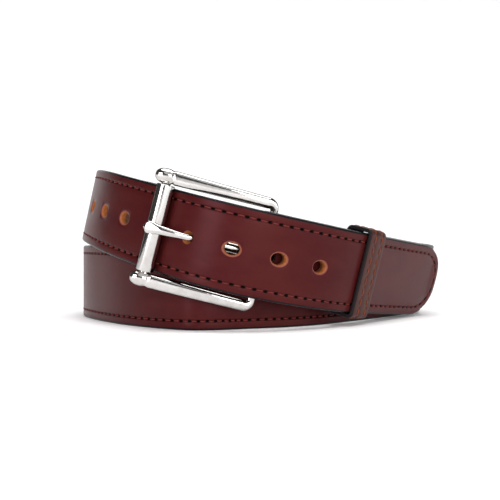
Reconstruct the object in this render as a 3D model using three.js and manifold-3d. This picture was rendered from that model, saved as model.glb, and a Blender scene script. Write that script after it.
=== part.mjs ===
// A dress belt with a hidden zipped money pocket, buckled and coiled into two turns that stand on edge.
//
// Millimetres, +Z up, the front of the coil faces -Y, and the origin is the middle of the underside.
// The strap is one long sweep. Its outer face follows a closed oval, the ring, twice round. Each stretch of
// strap lies some distance inside the ring, and the second turn is tilted so that it rests on the first.
import * as THREE from 'three';
import { mergeVertices } from 'three/addons/utils/BufferGeometryUtils.js';
import Module from 'manifold-3d';

const wasm = await Module();
wasm.setup();

// Strap
const STRAP_WIDTH = 38.1;
const STRAP_MIDDLE = STRAP_WIDTH / 2;
const STRAP_THICKNESS = 4.4;
const OUTER_THICKNESS = 2.7;
const SKIVED_THICKNESS = 2.0;
const LAYER_GAP = 0.2;
const LINING_DEPTH = OUTER_THICKNESS + LAYER_GAP;
const LINING_LIFT = 0.4;
const TIP_LENGTH = 24;
const TIP_ROUNDNESS = 2.2;
const TAIL_LENGTH = 119;
const FLAP_LENGTH = 40;
const LINING_START = 10;
const SKIVE_END = 14;

// The ring, from its front-most point and anticlockwise seen from above: turns in degrees, radii in mm.
const FRONT_RADIUS = 41;
const FRONT_RIGHT_TURN = 19;
const RIGHT_RADIUS = 100;
const RIGHT_TURN = 36;
const TAIL_STRAIGHT = 76;
const EAST_RADIUS = 44;
const EAST_TURN = 105;
const BACK_TURN = 40;
const WEST_CORNER_TURN = 80;
const WEST_RADIUS = 123;
const WEST_TURN = 28;
const LEFT_RADIUS = 172;
const LEFT_TURN = 15;
const FRONT_LEFT_TURN = 37;

// The tilt of the upper turn
const TILT_ROLL = THREE.MathUtils.degToRad(13.3);
const TILT_LEAN = THREE.MathUtils.degToRad(3.8);
const TILT_HEIGHT = 17.5;
const GROUND_GAP = 0.5;

// Holes
const HOLE_COUNT = 8;
const HOLE_PITCH = 21.8;
const HOLE_LENGTH = 7.4;
const HOLE_WIDTH = 5.4;
const LAST_HOLE = 41.8;
const USED_HOLE = 4;

// Buckle
const BAR_RADIUS = 1.7;
const FOLD_GAP = 0.6;
const RUNNING_GAP = 0.3;
const BUCKLE_END_OFFSET = 5.4;
const HEEL_STATION = 15.8;
const ROLLER_STATION = -38.4;
const ROLLER_RADIUS = 4.0;
const ROLLER_WALL = 1.8;
const ROLLER_LENGTH = 39.2;
const FRAME_INSIDE = 40.2;
const FRAME_BAR = 6.4;
const FRAME_BAR_HEEL = 5.0;
const FRAME_DEPTH = 4.6;
const FRAME_ARCH = 1.6;
const EAR_LENGTH = 10;
const EAR_WIDTH = 7.0;
const EAR_DEPTH = 5.6;
const EAR_SHIFT = 0.8;
const TONGUE_WIDTH = 4.6;
const TONGUE_THICKNESS = 2.2;
const TONGUE_SLOT = 6.4;
const TONGUE_EYE_WALL = 1.6;
const BUCKLE_SWAY = THREE.MathUtils.degToRad(1.4);
const SWAY_PIVOT = 0.4;

// Fold fasteners: two screw posts side by side through the fold, each closed by a screw
const POST_DISTANCE = 19;
const POST_SPACING = 19;
const POST_HEAD_RADIUS = 4.8;
const POST_HEAD_HEIGHT = 1.1;
const POST_RADIUS = 2.4;
const POST_FLOOR = 0.6;
const SCREW_HEAD_HEIGHT = 0.6;
const SCREW_RADIUS = 1.3;
const SCREW_LENGTH = 4.6;

// Keeper
const KEEPER_STATION = 76;
const KEEPER_WIDTH = 15;
const KEEPER_THICKNESS = 1.8;
const KEEPER_PLAY = 0.5;

// Money pocket and its zip, in the lower turn
const POCKET_FROM = -150;
const POCKET_TO = 246;
const POCKET_MARGIN = 7;
const POCKET_DEPTH = 1.3;
const SLIT_WIDTH = 9;
const TAPE_DEPTH = 2.25;
const TAPE_THICKNESS = 0.4;
const TAPE_WIDTH = 10.5;
const COIL_DEPTH = 2.85;
const COIL_THICKNESS = 1.25;
const COIL_WIDTH = 2.0;
const COIL_GAP = 1.0;
const ZIP_FROM = -140;
const ZIP_TO = 240;
const STOP_LENGTH = 3;
const STOP_PROUD = 0.2;
const SLIDER_PLACE = 229;
const SLIDER_LENGTH = 9;
const SLIDER_WIDTH = 8;
const SLIDER_BACK_DEPTH = [1.55, 2.0];
const SLIDER_FRONT_DEPTH = [4.65, 5.4];
const SLIDER_WEB = 0.5;
const LUG_GAP = 3.2;
const LUG_WIDTH = 0.9;
const LUG_LENGTH = 3;
const LUG_SINK = 0.2;
const LUG_TOP = 0.9;
const PIN_DEPTH = 7.1;
const PIN_RADIUS = 0.5;
const TAB_LENGTH = 16;
const TAB_WIDTH = 5;
const TAB_THICKNESS = 1;
const TAB_EYE_RADIUS = 1.4;
const TAB_NECK = 4;
const TAB_ANGLE = 45;

// ---------------------------------------------------------------- small mathematics

const radians = THREE.MathUtils.degToRad;
const smooth = (x) => THREE.MathUtils.smoothstep(x, 0, 1);

/** A smooth curve of a value through a list of [place, value] knots, level past both ends. */
function curveThrough(knots, place) {
  if (place <= knots[0][0]) return knots[0][1];
  if (place >= knots.at(-1)[0]) return knots.at(-1)[1];
  const i = knots.findIndex((knot) => knot[0] > place) - 1;
  const slope = (j) => {
    if (j <= 0 || j >= knots.length - 1) return 0;
    const before = knots[j][1] - knots[j - 1][1];
    const after = knots[j + 1][1] - knots[j][1];
    if (before * after <= 0) return 0;
    return (before + after) / (knots[j + 1][0] - knots[j - 1][0]);
  };
  const span = knots[i + 1][0] - knots[i][0];
  const x = (place - knots[i][0]) / span;
  const rise = knots[i + 1][1] - knots[i][1];
  const blend = x * x * (3 - 2 * x);
  const ease = x * (1 - x) * (1 - x) * slope(i) - x * x * (1 - x) * slope(i + 1);
  return knots[i][1] + rise * blend + span * ease;
}

// ---------------------------------------------------------------- the ring

/** Displacement along an arc of unit radius between two headings, in radians. */
function unitArc(from, to) {
  return [Math.sin(to) - Math.sin(from), Math.cos(from) - Math.cos(to)];
}

/** The ring's arcs in order. The back and the back-left corner get the radii that close it. */
function makeRing() {
  const turns = [
    [FRONT_RADIUS, FRONT_RIGHT_TURN],
    [RIGHT_RADIUS, RIGHT_TURN],
    [Infinity, 0],
    [EAST_RADIUS, EAST_TURN],
    [null, BACK_TURN],
    [null, WEST_CORNER_TURN],
    [WEST_RADIUS, WEST_TURN],
    [LEFT_RADIUS, LEFT_TURN],
    [FRONT_RADIUS, FRONT_LEFT_TURN],
  ];
  const arcs = [];
  const open = [];
  const sum = [0, 0];
  let heading = 0;
  for (const [radius, degrees] of turns) {
    const turn = radians(degrees);
    const [ux, uy] = unitArc(heading, heading + turn);
    const arc = { radius, turn, heading };
    if (radius === null) {
      open.push([ux, uy, arc]);
    } else if (turn === 0) {
      arc.length = TAIL_STRAIGHT;
      sum[0] += TAIL_STRAIGHT * Math.cos(heading);
      sum[1] += TAIL_STRAIGHT * Math.sin(heading);
    } else {
      sum[0] += radius * ux;
      sum[1] += radius * uy;
    }
    arcs.push(arc);
    heading += turn;
  }
  const [[ax, ay, a], [bx, by, b]] = open;
  const determinant = ax * by - bx * ay;
  a.radius = (-sum[0] * by + bx * sum[1]) / determinant;
  b.radius = (-ax * sum[1] + ay * sum[0]) / determinant;
  let start = 0;
  let x = 0;
  let y = 0;
  for (const arc of arcs) {
    arc.length ??= arc.radius * arc.turn;
    Object.assign(arc, { start, x, y });
    const end = pointOnArc(arc, arc.length);
    start += arc.length;
    x = end.x;
    y = end.y;
  }
  return { arcs, length: start };
}

/** The plan position and heading at a distance along one arc. */
function pointOnArc(arc, distance) {
  const heading = arc.heading + (arc.turn * distance) / arc.length;
  if (arc.turn === 0) {
    return { x: arc.x + distance * Math.cos(heading), y: arc.y + distance * Math.sin(heading), heading };
  }
  const [ux, uy] = unitArc(arc.heading, heading);
  return { x: arc.x + arc.radius * ux, y: arc.y + arc.radius * uy, heading };
}

const ring = makeRing();
const TURN = ring.length;

/** The ring's plan position and heading at any distance along it, in any turn. */
function ringAt(distance) {
  const along = ((distance % TURN) + TURN) % TURN;
  const arc = ring.arcs.findLast((candidate) => candidate.start <= along);
  return pointOnArc(arc, along - arc.start);
}

// ---------------------------------------------------------------- the strap's path

const HEEL = HEEL_STATION;
const TIP = 2 * TURN + LAST_HOLE + TAIL_LENGTH;

// How far inside the ring the strap's outer face lies.
const INSET = [
  [HEEL, BUCKLE_END_OFFSET],
  [165, BUCKLE_END_OFFSET],
  [265, 0.8],
  [TURN - 230, 0.4],
  [TURN - 150, 1.2],
  [TURN - 97, 7.2],
  [TURN - 50, 7.8],
  [TURN - 26, 9.5],
  [TURN, 17.5],
  [TURN + 20, 20],
  [TURN + 50, 18.5],
  [TURN + 90, 15.5],
  [TURN + 140, 12.8],
  [TURN + 240, 12.8],
  [TURN + 280, 8.5],
  [TURN + 325, 5.9],
  [TURN + 390, 5.3],
  [TURN + 440, 0],
  [2 * TURN + 150, 0],
  [2 * TURN + 161, -1.1],
];

// How much of the upper turn's tilt the strap has.
const TILT = [
  [145, 1],
  [270, 0],
  [TURN + 232, 0],
  [TURN + 350, 0.86],
  [2 * TURN - 150, 0.95],
  [2 * TURN - 90, 1],
];

/** The rotation of a tilted stretch of strap. */
function tiltRotation(amount) {
  return new THREE.Euler(TILT_LEAN * amount, TILT_ROLL * amount, 0, 'XYZ');
}

/** Plan position of the strap's outer face. */
function planAt(place) {
  const { x, y, heading } = ringAt(place);
  const inset = curveThrough(INSET, place);
  return [x - inset * Math.sin(heading), y + inset * Math.cos(heading)];
}

/** The strap's frame: its lower outer edge, and the directions along, across and through it. */
function frameAt(place) {
  const step = 0.5;
  const [x, y] = planAt(place);
  const [x0, y0] = planAt(place - step);
  const [x1, y1] = planAt(place + step);
  const along = new THREE.Vector3(x1 - x0, y1 - y0, 0).normalize();
  const inward = new THREE.Vector3(-along.y, along.x, 0);
  const across = new THREE.Vector3(0, 0, 1);
  const amount = curveThrough(TILT, place);
  const rotation = tiltRotation(amount);
  const origin = new THREE.Vector3(x, y, 0).applyEuler(rotation);
  origin.z += TILT_HEIGHT * amount;
  const softness = 0.5;
  const sink = (GROUND_GAP * Math.min(1, amount * 5) - origin.z) / softness;
  origin.z += softness * Math.log1p(Math.exp(sink)) * Math.min(1, amount * 5);
  return {
    origin,
    along: along.applyEuler(rotation),
    inward: inward.applyEuler(rotation),
    across: across.applyEuler(rotation),
  };
}

/** The point at a height across the strap and a depth below its outer face. */
function pointIn(frame, across, depth) {
  return frame.origin.clone().addScaledVector(frame.across, across).addScaledVector(frame.inward, depth);
}

/** Places along the strap close enough together to follow its bends. */
function placesBetween(from, to) {
  const maxTurn = radians(5);
  const maxStep = 12;
  const minStep = 2.5;
  const places = [from];
  let place = from;
  while (place < to) {
    let step = minStep;
    const here = frameAt(place);
    while (step < maxStep && frameAt(place + step).along.angleTo(here.along) < maxTurn) step += 0.5;
    place += step;
    places.push(Math.min(place, to));
  }
  return places;
}

// ---------------------------------------------------------------- solids

/** A closed body through a list of rings of points, all with the same number of points. */
function loft(rings, closed = false) {
  const count = rings[0].length;
  const positions = rings.flat().flatMap((point) => [point.x, point.y, point.z]);
  const index = [];
  const last = closed ? rings.length : rings.length - 1;
  for (let i = 0; i < last; i += 1) {
    const near = i * count;
    const far = ((i + 1) % rings.length) * count;
    for (let j = 0; j < count; j += 1) {
      const k = (j + 1) % count;
      index.push(near + j, far + j, far + k, near + j, far + k, near + k);
    }
  }
  if (!closed) {
    const end = (rings.length - 1) * count;
    for (let j = 1; j < count - 1; j += 1) {
      index.push(0, j, j + 1);
      index.push(end, end + j + 1, end + j);
    }
  }
  const geometry = new THREE.BufferGeometry();
  geometry.setAttribute('position', new THREE.Float32BufferAttribute(positions, 3));
  geometry.setIndex(index);
  return faceOut(geometry);
}

/** Turns a closed geometry's triangles so that they face out. */
function faceOut(geometry) {
  const p = geometry.attributes.position;
  const index = geometry.index.array;
  const [a, b, c] = [new THREE.Vector3(), new THREE.Vector3(), new THREE.Vector3()];
  let volume = 0;
  for (let i = 0; i < index.length; i += 3) {
    a.fromBufferAttribute(p, index[i]);
    b.fromBufferAttribute(p, index[i + 1]);
    c.fromBufferAttribute(p, index[i + 2]);
    volume += a.dot(b.cross(c));
  }
  if (volume < 0) {
    for (let i = 0; i < index.length; i += 3) [index[i], index[i + 1]] = [index[i + 1], index[i]];
  }
  return geometry;
}

/** A geometry as a manifold solid. */
function solid(geometry) {
  const bare = geometry.clone();
  bare.deleteAttribute('normal');
  bare.deleteAttribute('uv');
  const merged = mergeVertices(bare, 1e-4);
  const vertProperties = new Float32Array(merged.attributes.position.array);
  const triVerts = new Uint32Array(merged.index.array);
  return new wasm.Manifold(new wasm.Mesh({ numProp: 3, vertProperties, triVerts }));
}

/** A manifold solid as a geometry. */
function geometryOf(manifold) {
  const mesh = manifold.getMesh();
  const geometry = new THREE.BufferGeometry();
  geometry.setAttribute('position', new THREE.BufferAttribute(new Float32Array(mesh.vertProperties), 3));
  geometry.setIndex(new THREE.BufferAttribute(new Uint32Array(mesh.triVerts), 1));
  return geometry;
}

/** One solid with others cut from it. */
function cut(geometry, cutters) {
  let body = solid(geometry);
  for (const cutter of cutters) body = body.subtract(solid(cutter));
  return geometryOf(body);
}

/** One solid with others joined to it. */
function join(geometry, others) {
  let body = solid(geometry);
  for (const other of others) body = body.add(solid(other));
  return geometryOf(body);
}

/** A flat strip of the strap between two places, two heights and two depths. */
function strip(places, low, high, outer, inner) {
  return loft(places.map((place) => {
    const frame = frameAt(place);
    const corners = [[low, outer], [high, outer], [high, inner], [low, inner]];
    return corners.map(([across, depth]) => pointIn(frame, across, depth));
  }));
}

/** Lays a shape's geometry, drawn along, across and out of the strap, on its outer face at a place. */
function layOnStrap(geometry, place, across, depth) {
  const frame = frameAt(place);
  const matrix = new THREE.Matrix4().makeBasis(frame.along, frame.across, frame.inward.clone().negate());
  matrix.setPosition(pointIn(frame, across, depth));
  return geometry.applyMatrix4(matrix);
}

/** An oval bar through the strap. */
function ovalCutter(length, width, reach) {
  const shape = new THREE.Shape();
  shape.absellipse(0, 0, length / 2, width / 2, 0, Math.PI * 2);
  const options = { depth: reach, bevelEnabled: false, curveSegments: 16 };
  return new THREE.ExtrudeGeometry(shape, options).translate(0, 0, -reach / 2);
}

// ---------------------------------------------------------------- strap

const strapPlaces = placesBetween(HEEL, TIP - TIP_LENGTH);
const foldCentreDepth = SKIVED_THICKNESS + FOLD_GAP + BAR_RADIUS;

/** Half the strap's width at a distance from the end of its tip. */
function halfWidthAt(distance) {
  if (distance >= TIP_LENGTH) return STRAP_MIDDLE;
  const side = (1 - distance / TIP_LENGTH) ** TIP_ROUNDNESS;
  return STRAP_MIDDLE * (1 - side) ** (1 / TIP_ROUNDNESS);
}

/** Places round the tip, closer together towards its end. */
function tipPlaces() {
  const count = 9;
  const shortest = 0.15;
  const places = [];
  for (let i = 1; i <= count; i += 1) {
    const distance = TIP_LENGTH * (1 - Math.sin((Math.PI / 2) * (i / count)));
    places.push(TIP - Math.max(distance, shortest));
  }
  return places;
}

/** One layer of the strap: its section at a place, trimmed by a margin along its edges. */
function layerRing(place, lowMargin, highMargin, outer, inner) {
  const frame = frameAt(place);
  const half = halfWidthAt(TIP - place);
  const shrink = half / STRAP_MIDDLE;
  const low = STRAP_MIDDLE - half + lowMargin * shrink;
  const high = STRAP_MIDDLE + half - highMargin * shrink;
  return [[low, outer], [high, outer], [high, inner], [low, inner]].map(([t, n]) => pointIn(frame, t, n));
}

/** Depth of the flap's far face below the strap's outer face, at a distance from the heel bar. */
function flapDepth(distance) {
  const settled = STRAP_THICKNESS + LAYER_GAP + SKIVED_THICKNESS;
  const atBar = 2 * foldCentreDepth;
  return settled + (atBar - settled) * (1 - smooth(distance / LINING_START / 1.5));
}

/** The flap folded back inside the strap, from its free end to the heel bar. */
function flapRings() {
  const steps = 12;
  const rings = [];
  for (let i = 0; i < steps; i += 1) {
    const distance = FLAP_LENGTH * (1 - i / steps);
    const depth = flapDepth(distance);
    rings.push(layerRing(HEEL + distance, 0, 0, depth, depth - SKIVED_THICKNESS));
  }
  return rings;
}

/** The fold round the heel bar. */
function foldRings() {
  const steps = 12;
  const frame = frameAt(HEEL);
  const rings = [];
  for (let i = 0; i < steps; i += 1) {
    const angle = (Math.PI * i) / steps;
    const point = (radius, across) => pointIn(frame, across, foldCentreDepth + radius * Math.cos(angle))
      .addScaledVector(frame.along, -radius * Math.sin(angle));
    const outer = foldCentreDepth;
    const inner = foldCentreDepth - SKIVED_THICKNESS;
    rings.push([point(outer, 0), point(outer, STRAP_WIDTH), point(inner, STRAP_WIDTH), point(inner, 0)]);
  }
  return rings;
}

/** The outer layer's thickness: skived where it folds. */
function outerThickness(place) {
  const grown = smooth((place - HEEL - LINING_START / 2) / (SKIVE_END - LINING_START / 2));
  return SKIVED_THICKNESS + (OUTER_THICKNESS - SKIVED_THICKNESS) * grown;
}

/** Place of a sizing hole, counted from the buckle end of the row outwards to the tip. */
function holePlace(index) {
  return 2 * TURN + LAST_HOLE - (HOLE_COUNT - 1 - index) * HOLE_PITCH;
}

/** Oval cutters for the sizing holes, through every layer. The used one follows the tongue. */
function holeCutters() {
  const reach = 1.4 * STRAP_THICKNESS;
  const cutters = [];
  for (let i = 0; i < HOLE_COUNT; i += 1) {
    if (i === USED_HOLE) continue;
    const cutter = ovalCutter(HOLE_LENGTH, HOLE_WIDTH, reach);
    cutters.push(layOnStrap(cutter, holePlace(i), STRAP_MIDDLE, STRAP_THICKNESS / 2));
  }
  cutters.push(usedHoleCutter());
  return cutters;
}

/** Distance of each fold post across the strap. */
function postAcross() {
  return [STRAP_MIDDLE - POST_SPACING / 2, STRAP_MIDDLE + POST_SPACING / 2];
}

/** Round cutters for the posts, through the strap and its folded flap. */
function postCutters() {
  const radius = POST_RADIUS + LAYER_GAP;
  const reach = 3 * STRAP_THICKNESS;
  return postAcross().map((across) => {
    const hole = new THREE.CylinderGeometry(radius, radius, reach, 20).rotateX(Math.PI / 2);
    return layOnStrap(hole, HEEL + POST_DISTANCE, across, STRAP_THICKNESS);
  });
}

/** The slot in the fold that lets the tongue swing. */
function tongueSlotCutter() {
  const beforeBar = foldCentreDepth + 3.5;
  const pastBar = 5;
  const length = beforeBar + pastBar;
  const box = new THREE.BoxGeometry(length, TONGUE_SLOT, 2 * foldCentreDepth + 2);
  return layOnStrap(box.translate(pastBar - length / 2, 0, 0), HEEL, STRAP_MIDDLE, foldCentreDepth);
}

function makeOuterStrap() {
  const run = strapPlaces.map((place) => layerRing(place, 0, 0, 0, outerThickness(place)));
  const tip = tipPlaces().map((place) => layerRing(place, 0, 0, 0, OUTER_THICKNESS));
  const body = loft([...flapRings(), ...foldRings(), ...run, ...tip]);
  const pocketPlaces = placesBetween(TURN + POCKET_FROM, TURN + POCKET_TO);
  const pocketHigh = STRAP_WIDTH - POCKET_MARGIN;
  const pocket = strip(pocketPlaces, POCKET_MARGIN, pocketHigh, POCKET_DEPTH, LINING_DEPTH);
  return cut(body, [pocket, tongueSlotCutter(), ...postCutters(), ...holeCutters()]);
}

function makeLining() {
  const start = HEEL + LINING_START;
  const places = [start, ...strapPlaces.filter((place) => place > start + 1)];
  const rings = [...places, ...tipPlaces()].map((place) => (
    layerRing(place, LINING_LIFT, LAYER_GAP, LINING_DEPTH, STRAP_THICKNESS)));
  const slitPlaces = placesBetween(TURN + ZIP_FROM, TURN + ZIP_TO);
  const slitLow = STRAP_MIDDLE - SLIT_WIDTH / 2;
  const slit = strip(slitPlaces, slitLow, slitLow + SLIT_WIDTH, LINING_DEPTH - 0.1, STRAP_THICKNESS + 1);
  return cut(loft(rings), [slit, ...postCutters(), ...holeCutters()]);
}

// ---------------------------------------------------------------- buckle, in the upper turn's own plane

/** Plan position in the upper turn's plane, at a depth below the strap's outer face. */
function tierPoint(station, depth) {
  const { x, y, heading } = ringAt(station);
  return new THREE.Vector3(x - depth * Math.sin(heading), y + depth * Math.cos(heading), STRAP_MIDDLE);
}

const heelPoint = tierPoint(HEEL, BUCKLE_END_OFFSET + foldCentreDepth);
const rollerPoint = tierPoint(ROLLER_STATION, -(ROLLER_RADIUS + RUNNING_GAP));
const buckleAlong = rollerPoint.clone().sub(heelPoint).normalize();
const buckleLength = rollerPoint.distanceTo(heelPoint);
const buckleOut = new THREE.Vector3(-buckleAlong.y, buckleAlong.x, 0);

/** A bar's oval section round a point, from its half sizes outwards and across. */
function frameRing(point, across, outwards, halfWide, halfDeep, segments = 12) {
  const ringPoints = [];
  for (let i = 0; i < segments; i += 1) {
    const angle = (2 * Math.PI * i) / segments;
    ringPoints.push(point.clone()
      .addScaledVector(outwards, halfWide * Math.cos(angle))
      .addScaledVector(across, halfDeep * Math.sin(angle)));
  }
  return ringPoints;
}

/** The buckle's frame: one bent bar, thick beside the roller, with an ear at each end of the roller. */
function makeFrame() {
  const side = (FRAME_INSIDE + FRAME_BAR) / 2;
  const rollerCorner = FRAME_BAR / 2 + 0.2;
  const heelCorner = 2.8;
  const up = new THREE.Vector3(0, 0, 1);
  const stations = [];
  const add = (along, high, angle, wide, deep) => stations.push({ along, high, angle, wide, deep });
  const corner = (along, high, radius, from, wide, deep) => {
    const steps = 6;
    for (let i = 0; i <= steps; i += 1) {
      const angle = from + (Math.PI / 2) * (i / steps);
      const share = i / steps;
      add(along + radius * Math.cos(angle), high + radius * Math.sin(angle), angle,
        wide[0] + (wide[1] - wide[0]) * share, deep[0] + (deep[1] - deep[0]) * share);
    }
  };
  const bar = 2 * BAR_RADIUS;
  const end = buckleLength;
  const rollerEnd = end - rollerCorner;
  corner(rollerEnd, side - rollerCorner, rollerCorner, 0, [bar, FRAME_BAR], [bar, FRAME_DEPTH]);
  for (const share of [0.25, 0.5, 0.75]) {
    const wide = FRAME_BAR + (FRAME_BAR_HEEL - FRAME_BAR) * share;
    add(rollerEnd - (rollerEnd - heelCorner) * share, side, Math.PI / 2, wide, FRAME_DEPTH);
  }
  corner(heelCorner, side - heelCorner, heelCorner, Math.PI / 2, [FRAME_BAR_HEEL, bar], [FRAME_DEPTH, bar]);
  corner(heelCorner, heelCorner - side, heelCorner, Math.PI, [bar, FRAME_BAR_HEEL], [bar, FRAME_DEPTH]);
  for (const share of [0.25, 0.5, 0.75]) {
    const wide = FRAME_BAR_HEEL + (FRAME_BAR - FRAME_BAR_HEEL) * share;
    add(heelCorner + (rollerEnd - heelCorner) * share, -side, 1.5 * Math.PI, wide, FRAME_DEPTH);
  }
  corner(rollerEnd, rollerCorner - side, rollerCorner, 1.5 * Math.PI, [FRAME_BAR, bar], [FRAME_DEPTH, bar]);
  const rings = stations.map(({ along, high, angle, wide, deep }) => {
    const arch = FRAME_ARCH * Math.sin(Math.PI * Math.min(1, Math.max(0, along / buckleLength)));
    const point = heelPoint.clone().addScaledVector(buckleAlong, along).addScaledVector(buckleOut, arch);
    point.z += high;
    const outwards = buckleAlong.clone().multiplyScalar(Math.cos(angle));
    outwards.addScaledVector(up, Math.sin(angle));
    return frameRing(point, buckleOut, outwards, wide / 2, deep / 2);
  });
  const ears = [1, -1].map((sign) => {
    const ear = new THREE.SphereGeometry(0.5, 20, 12).scale(EAR_LENGTH, EAR_DEPTH, EAR_WIDTH);
    const centre = rollerPoint.clone().addScaledVector(buckleAlong, EAR_SHIFT);
    centre.addScaledVector(up, sign * side);
    return ear.rotateZ(Math.atan2(buckleAlong.y, buckleAlong.x)).translate(centre.x, centre.y, centre.z);
  });
  return join(loft(rings, true), ears);
}

/** A tube along +Z, centred on a plan point, from an inner to an outer radius. */
function tubeAt(point, inner, outer, length, segments = 32) {
  const half = length / 2;
  const bevel = Math.min(0.4, (outer - inner) / 3);
  const profile = [[inner, -half], [outer - bevel, -half], [outer, bevel - half], [outer, half - bevel],
    [outer - bevel, half], [inner, half], [inner, -half]];
  const geometry = new THREE.LatheGeometry(profile.map(([r, h]) => new THREE.Vector2(r, h)), segments);
  return geometry.rotateX(Math.PI / 2).translate(point.x, point.y, point.z);
}

/** The middle line of the tongue, from its eye on the heel bar to its tip over the roller. */
function tongueLine() {
  const eyeRadius = BAR_RADIUS + RUNNING_GAP + TONGUE_THICKNESS / 2;
  const overRoller = ROLLER_RADIUS + RUNNING_GAP + TONGUE_THICKNESS / 2;
  const hole = tierPoint(holePlace(USED_HOLE), 0.6);
  const from = (base, along, out) => (
    base.clone().addScaledVector(buckleAlong, along).addScaledVector(buckleOut, out));
  return new THREE.CatmullRomCurve3([
    from(heelPoint, eyeRadius * 0.85, 0.3),
    from(heelPoint, 16, 1.2),
    from(heelPoint, 24, 2.4),
    from(hole, -1.5, 0.2),
    from(hole, 6.5, 1.4),
    from(rollerPoint, 0.5, overRoller + 0.1),
    from(rollerPoint, 4.5, overRoller - 0.9),
  ]);
}

function makeTongue() {
  const line = tongueLine();
  const steps = 22;
  const up = new THREE.Vector3(0, 0, 1);
  const rings = [];
  for (let i = 0; i <= steps; i += 1) {
    const share = i / steps;
    const point = line.getPointAt(share);
    const tangent = line.getTangentAt(share);
    const out = new THREE.Vector3(tangent.y, -tangent.x, 0).normalize();
    if (out.y > 0) out.negate();
    const taper = 1 - 0.35 * smooth((share - 0.93) / 0.07);
    rings.push(frameRing(point, out, up, (TONGUE_WIDTH / 2) * taper, (TONGUE_THICKNESS / 2) * taper));
  }
  const eyeOuter = BAR_RADIUS + RUNNING_GAP + TONGUE_EYE_WALL;
  const eye = tubeAt(heelPoint, BAR_RADIUS + RUNNING_GAP, eyeOuter, TONGUE_WIDTH);
  const bore = new THREE.CylinderGeometry(BAR_RADIUS + RUNNING_GAP, BAR_RADIUS + RUNNING_GAP, 12, 32);
  bore.rotateX(Math.PI / 2).translate(heelPoint.x, heelPoint.y, heelPoint.z);
  return cut(join(loft(rings), [eye]), [bore]);
}

/** The used hole: a bar along the tongue where it passes through the strap, in the part's own space. */
function usedHoleCutter() {
  const line = tongueLine();
  const middle = tierPoint(holePlace(USED_HOLE), STRAP_THICKNESS / 2);
  const up = new THREE.Vector3(0, 0, 1);
  let best = 0;
  let nearest = Infinity;
  for (let share = 0; share <= 1; share += 0.005) {
    const distance = line.getPointAt(share).distanceTo(middle);
    if (distance < nearest) [nearest, best] = [distance, share];
  }
  const rings = [];
  const reach = 0.2;
  for (let i = -5; i <= 5; i += 1) {
    const share = best + (reach * i) / 5;
    const tangent = line.getTangentAt(best).add(line.getTangentAt(share));
    const out = new THREE.Vector3(tangent.y, -tangent.x, 0).normalize();
    if (out.y > 0) out.negate();
    const point = line.getPointAt(share).addScaledVector(out, 0.35);
    rings.push(frameRing(point, out, up, HOLE_WIDTH / 2 + 0.3, TONGUE_THICKNESS / 2 + 1.1, 16));
  }
  return loft(rings).applyMatrix4(swayMatrix()).applyMatrix4(tierMatrix());
}

/** The buckle's small turn in its own plane, as far as its play in the fold allows. */
function swayMatrix() {
  const pivot = rollerPoint.clone().lerp(heelPoint, SWAY_PIVOT);
  const matrix = new THREE.Matrix4().makeRotationAxis(buckleOut, -BUCKLE_SWAY);
  const back = new THREE.Matrix4().makeTranslation(-pivot.x, -pivot.y, -pivot.z);
  return matrix.multiply(back).premultiply(new THREE.Matrix4().makeTranslation(pivot.x, pivot.y, pivot.z));
}

/** Places the upper turn's own plane in the part. */
function tierMatrix() {
  const matrix = new THREE.Matrix4().makeRotationFromEuler(tiltRotation(1));
  return matrix.setPosition(0, 0, TILT_HEIGHT);
}

// ---------------------------------------------------------------- keeper

/** A rounded rectangle as points, anticlockwise. */
function roundedLoop(width, height, radius, steps = 5) {
  const points = [];
  const corners = [[1, 1, 0], [-1, 1, 1], [-1, -1, 2], [1, -1, 3]];
  for (const [sx, sy, quarter] of corners) {
    for (let i = 0; i <= steps; i += 1) {
      const angle = (Math.PI / 2) * (quarter + i / steps);
      points.push([sx * (width / 2 - radius) + radius * Math.cos(angle),
        sy * (height / 2 - radius) + radius * Math.sin(angle)]);
    }
  }
  return points;
}

function makeKeeper() {
  const place = 2 * TURN + KEEPER_STATION;
  const stackDepth = BUCKLE_END_OFFSET + STRAP_THICKNESS;
  const inner = roundedLoop(STRAP_WIDTH + 2 * KEEPER_PLAY, stackDepth + 2 * KEEPER_PLAY, 1);
  const wide = KEEPER_THICKNESS + KEEPER_PLAY;
  const outer = roundedLoop(STRAP_WIDTH + 2 * wide, stackDepth + 2 * wide, 1 + KEEPER_THICKNESS);
  const edges = [frameAt(place - KEEPER_WIDTH / 2), frameAt(place + KEEPER_WIDTH / 2)];
  const at = (frame, [t, n]) => pointIn(frame, STRAP_MIDDLE + t, stackDepth / 2 + n);
  const rings = inner.map((point, i) => [
    at(edges[0], point),
    at(edges[1], point),
    at(edges[1], outer[i]),
    at(edges[0], outer[i]),
  ]);
  return loft(rings, true);
}

// ---------------------------------------------------------------- fold fasteners

function makePost(across) {
  const headBack = STRAP_THICKNESS + LAYER_GAP + SKIVED_THICKNESS + RUNNING_GAP;
  const bore = SCREW_RADIUS + LAYER_GAP;
  const headTop = -headBack - POST_HEAD_HEIGHT;
  const profile = [[0, headTop], [POST_HEAD_RADIUS * 0.8, headTop],
    [POST_HEAD_RADIUS, headTop + POST_HEAD_HEIGHT / 2], [POST_HEAD_RADIUS, -headBack],
    [POST_RADIUS, -headBack], [POST_RADIUS, -LAYER_GAP], [bore, -LAYER_GAP], [bore, POST_FLOOR - headBack],
    [0, POST_FLOOR - headBack]];
  const geometry = new THREE.LatheGeometry(profile.map(([r, h]) => new THREE.Vector2(r, h)), 24);
  return layOnStrap(geometry.rotateX(Math.PI / 2), HEEL + POST_DISTANCE, across, 0);
}

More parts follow.
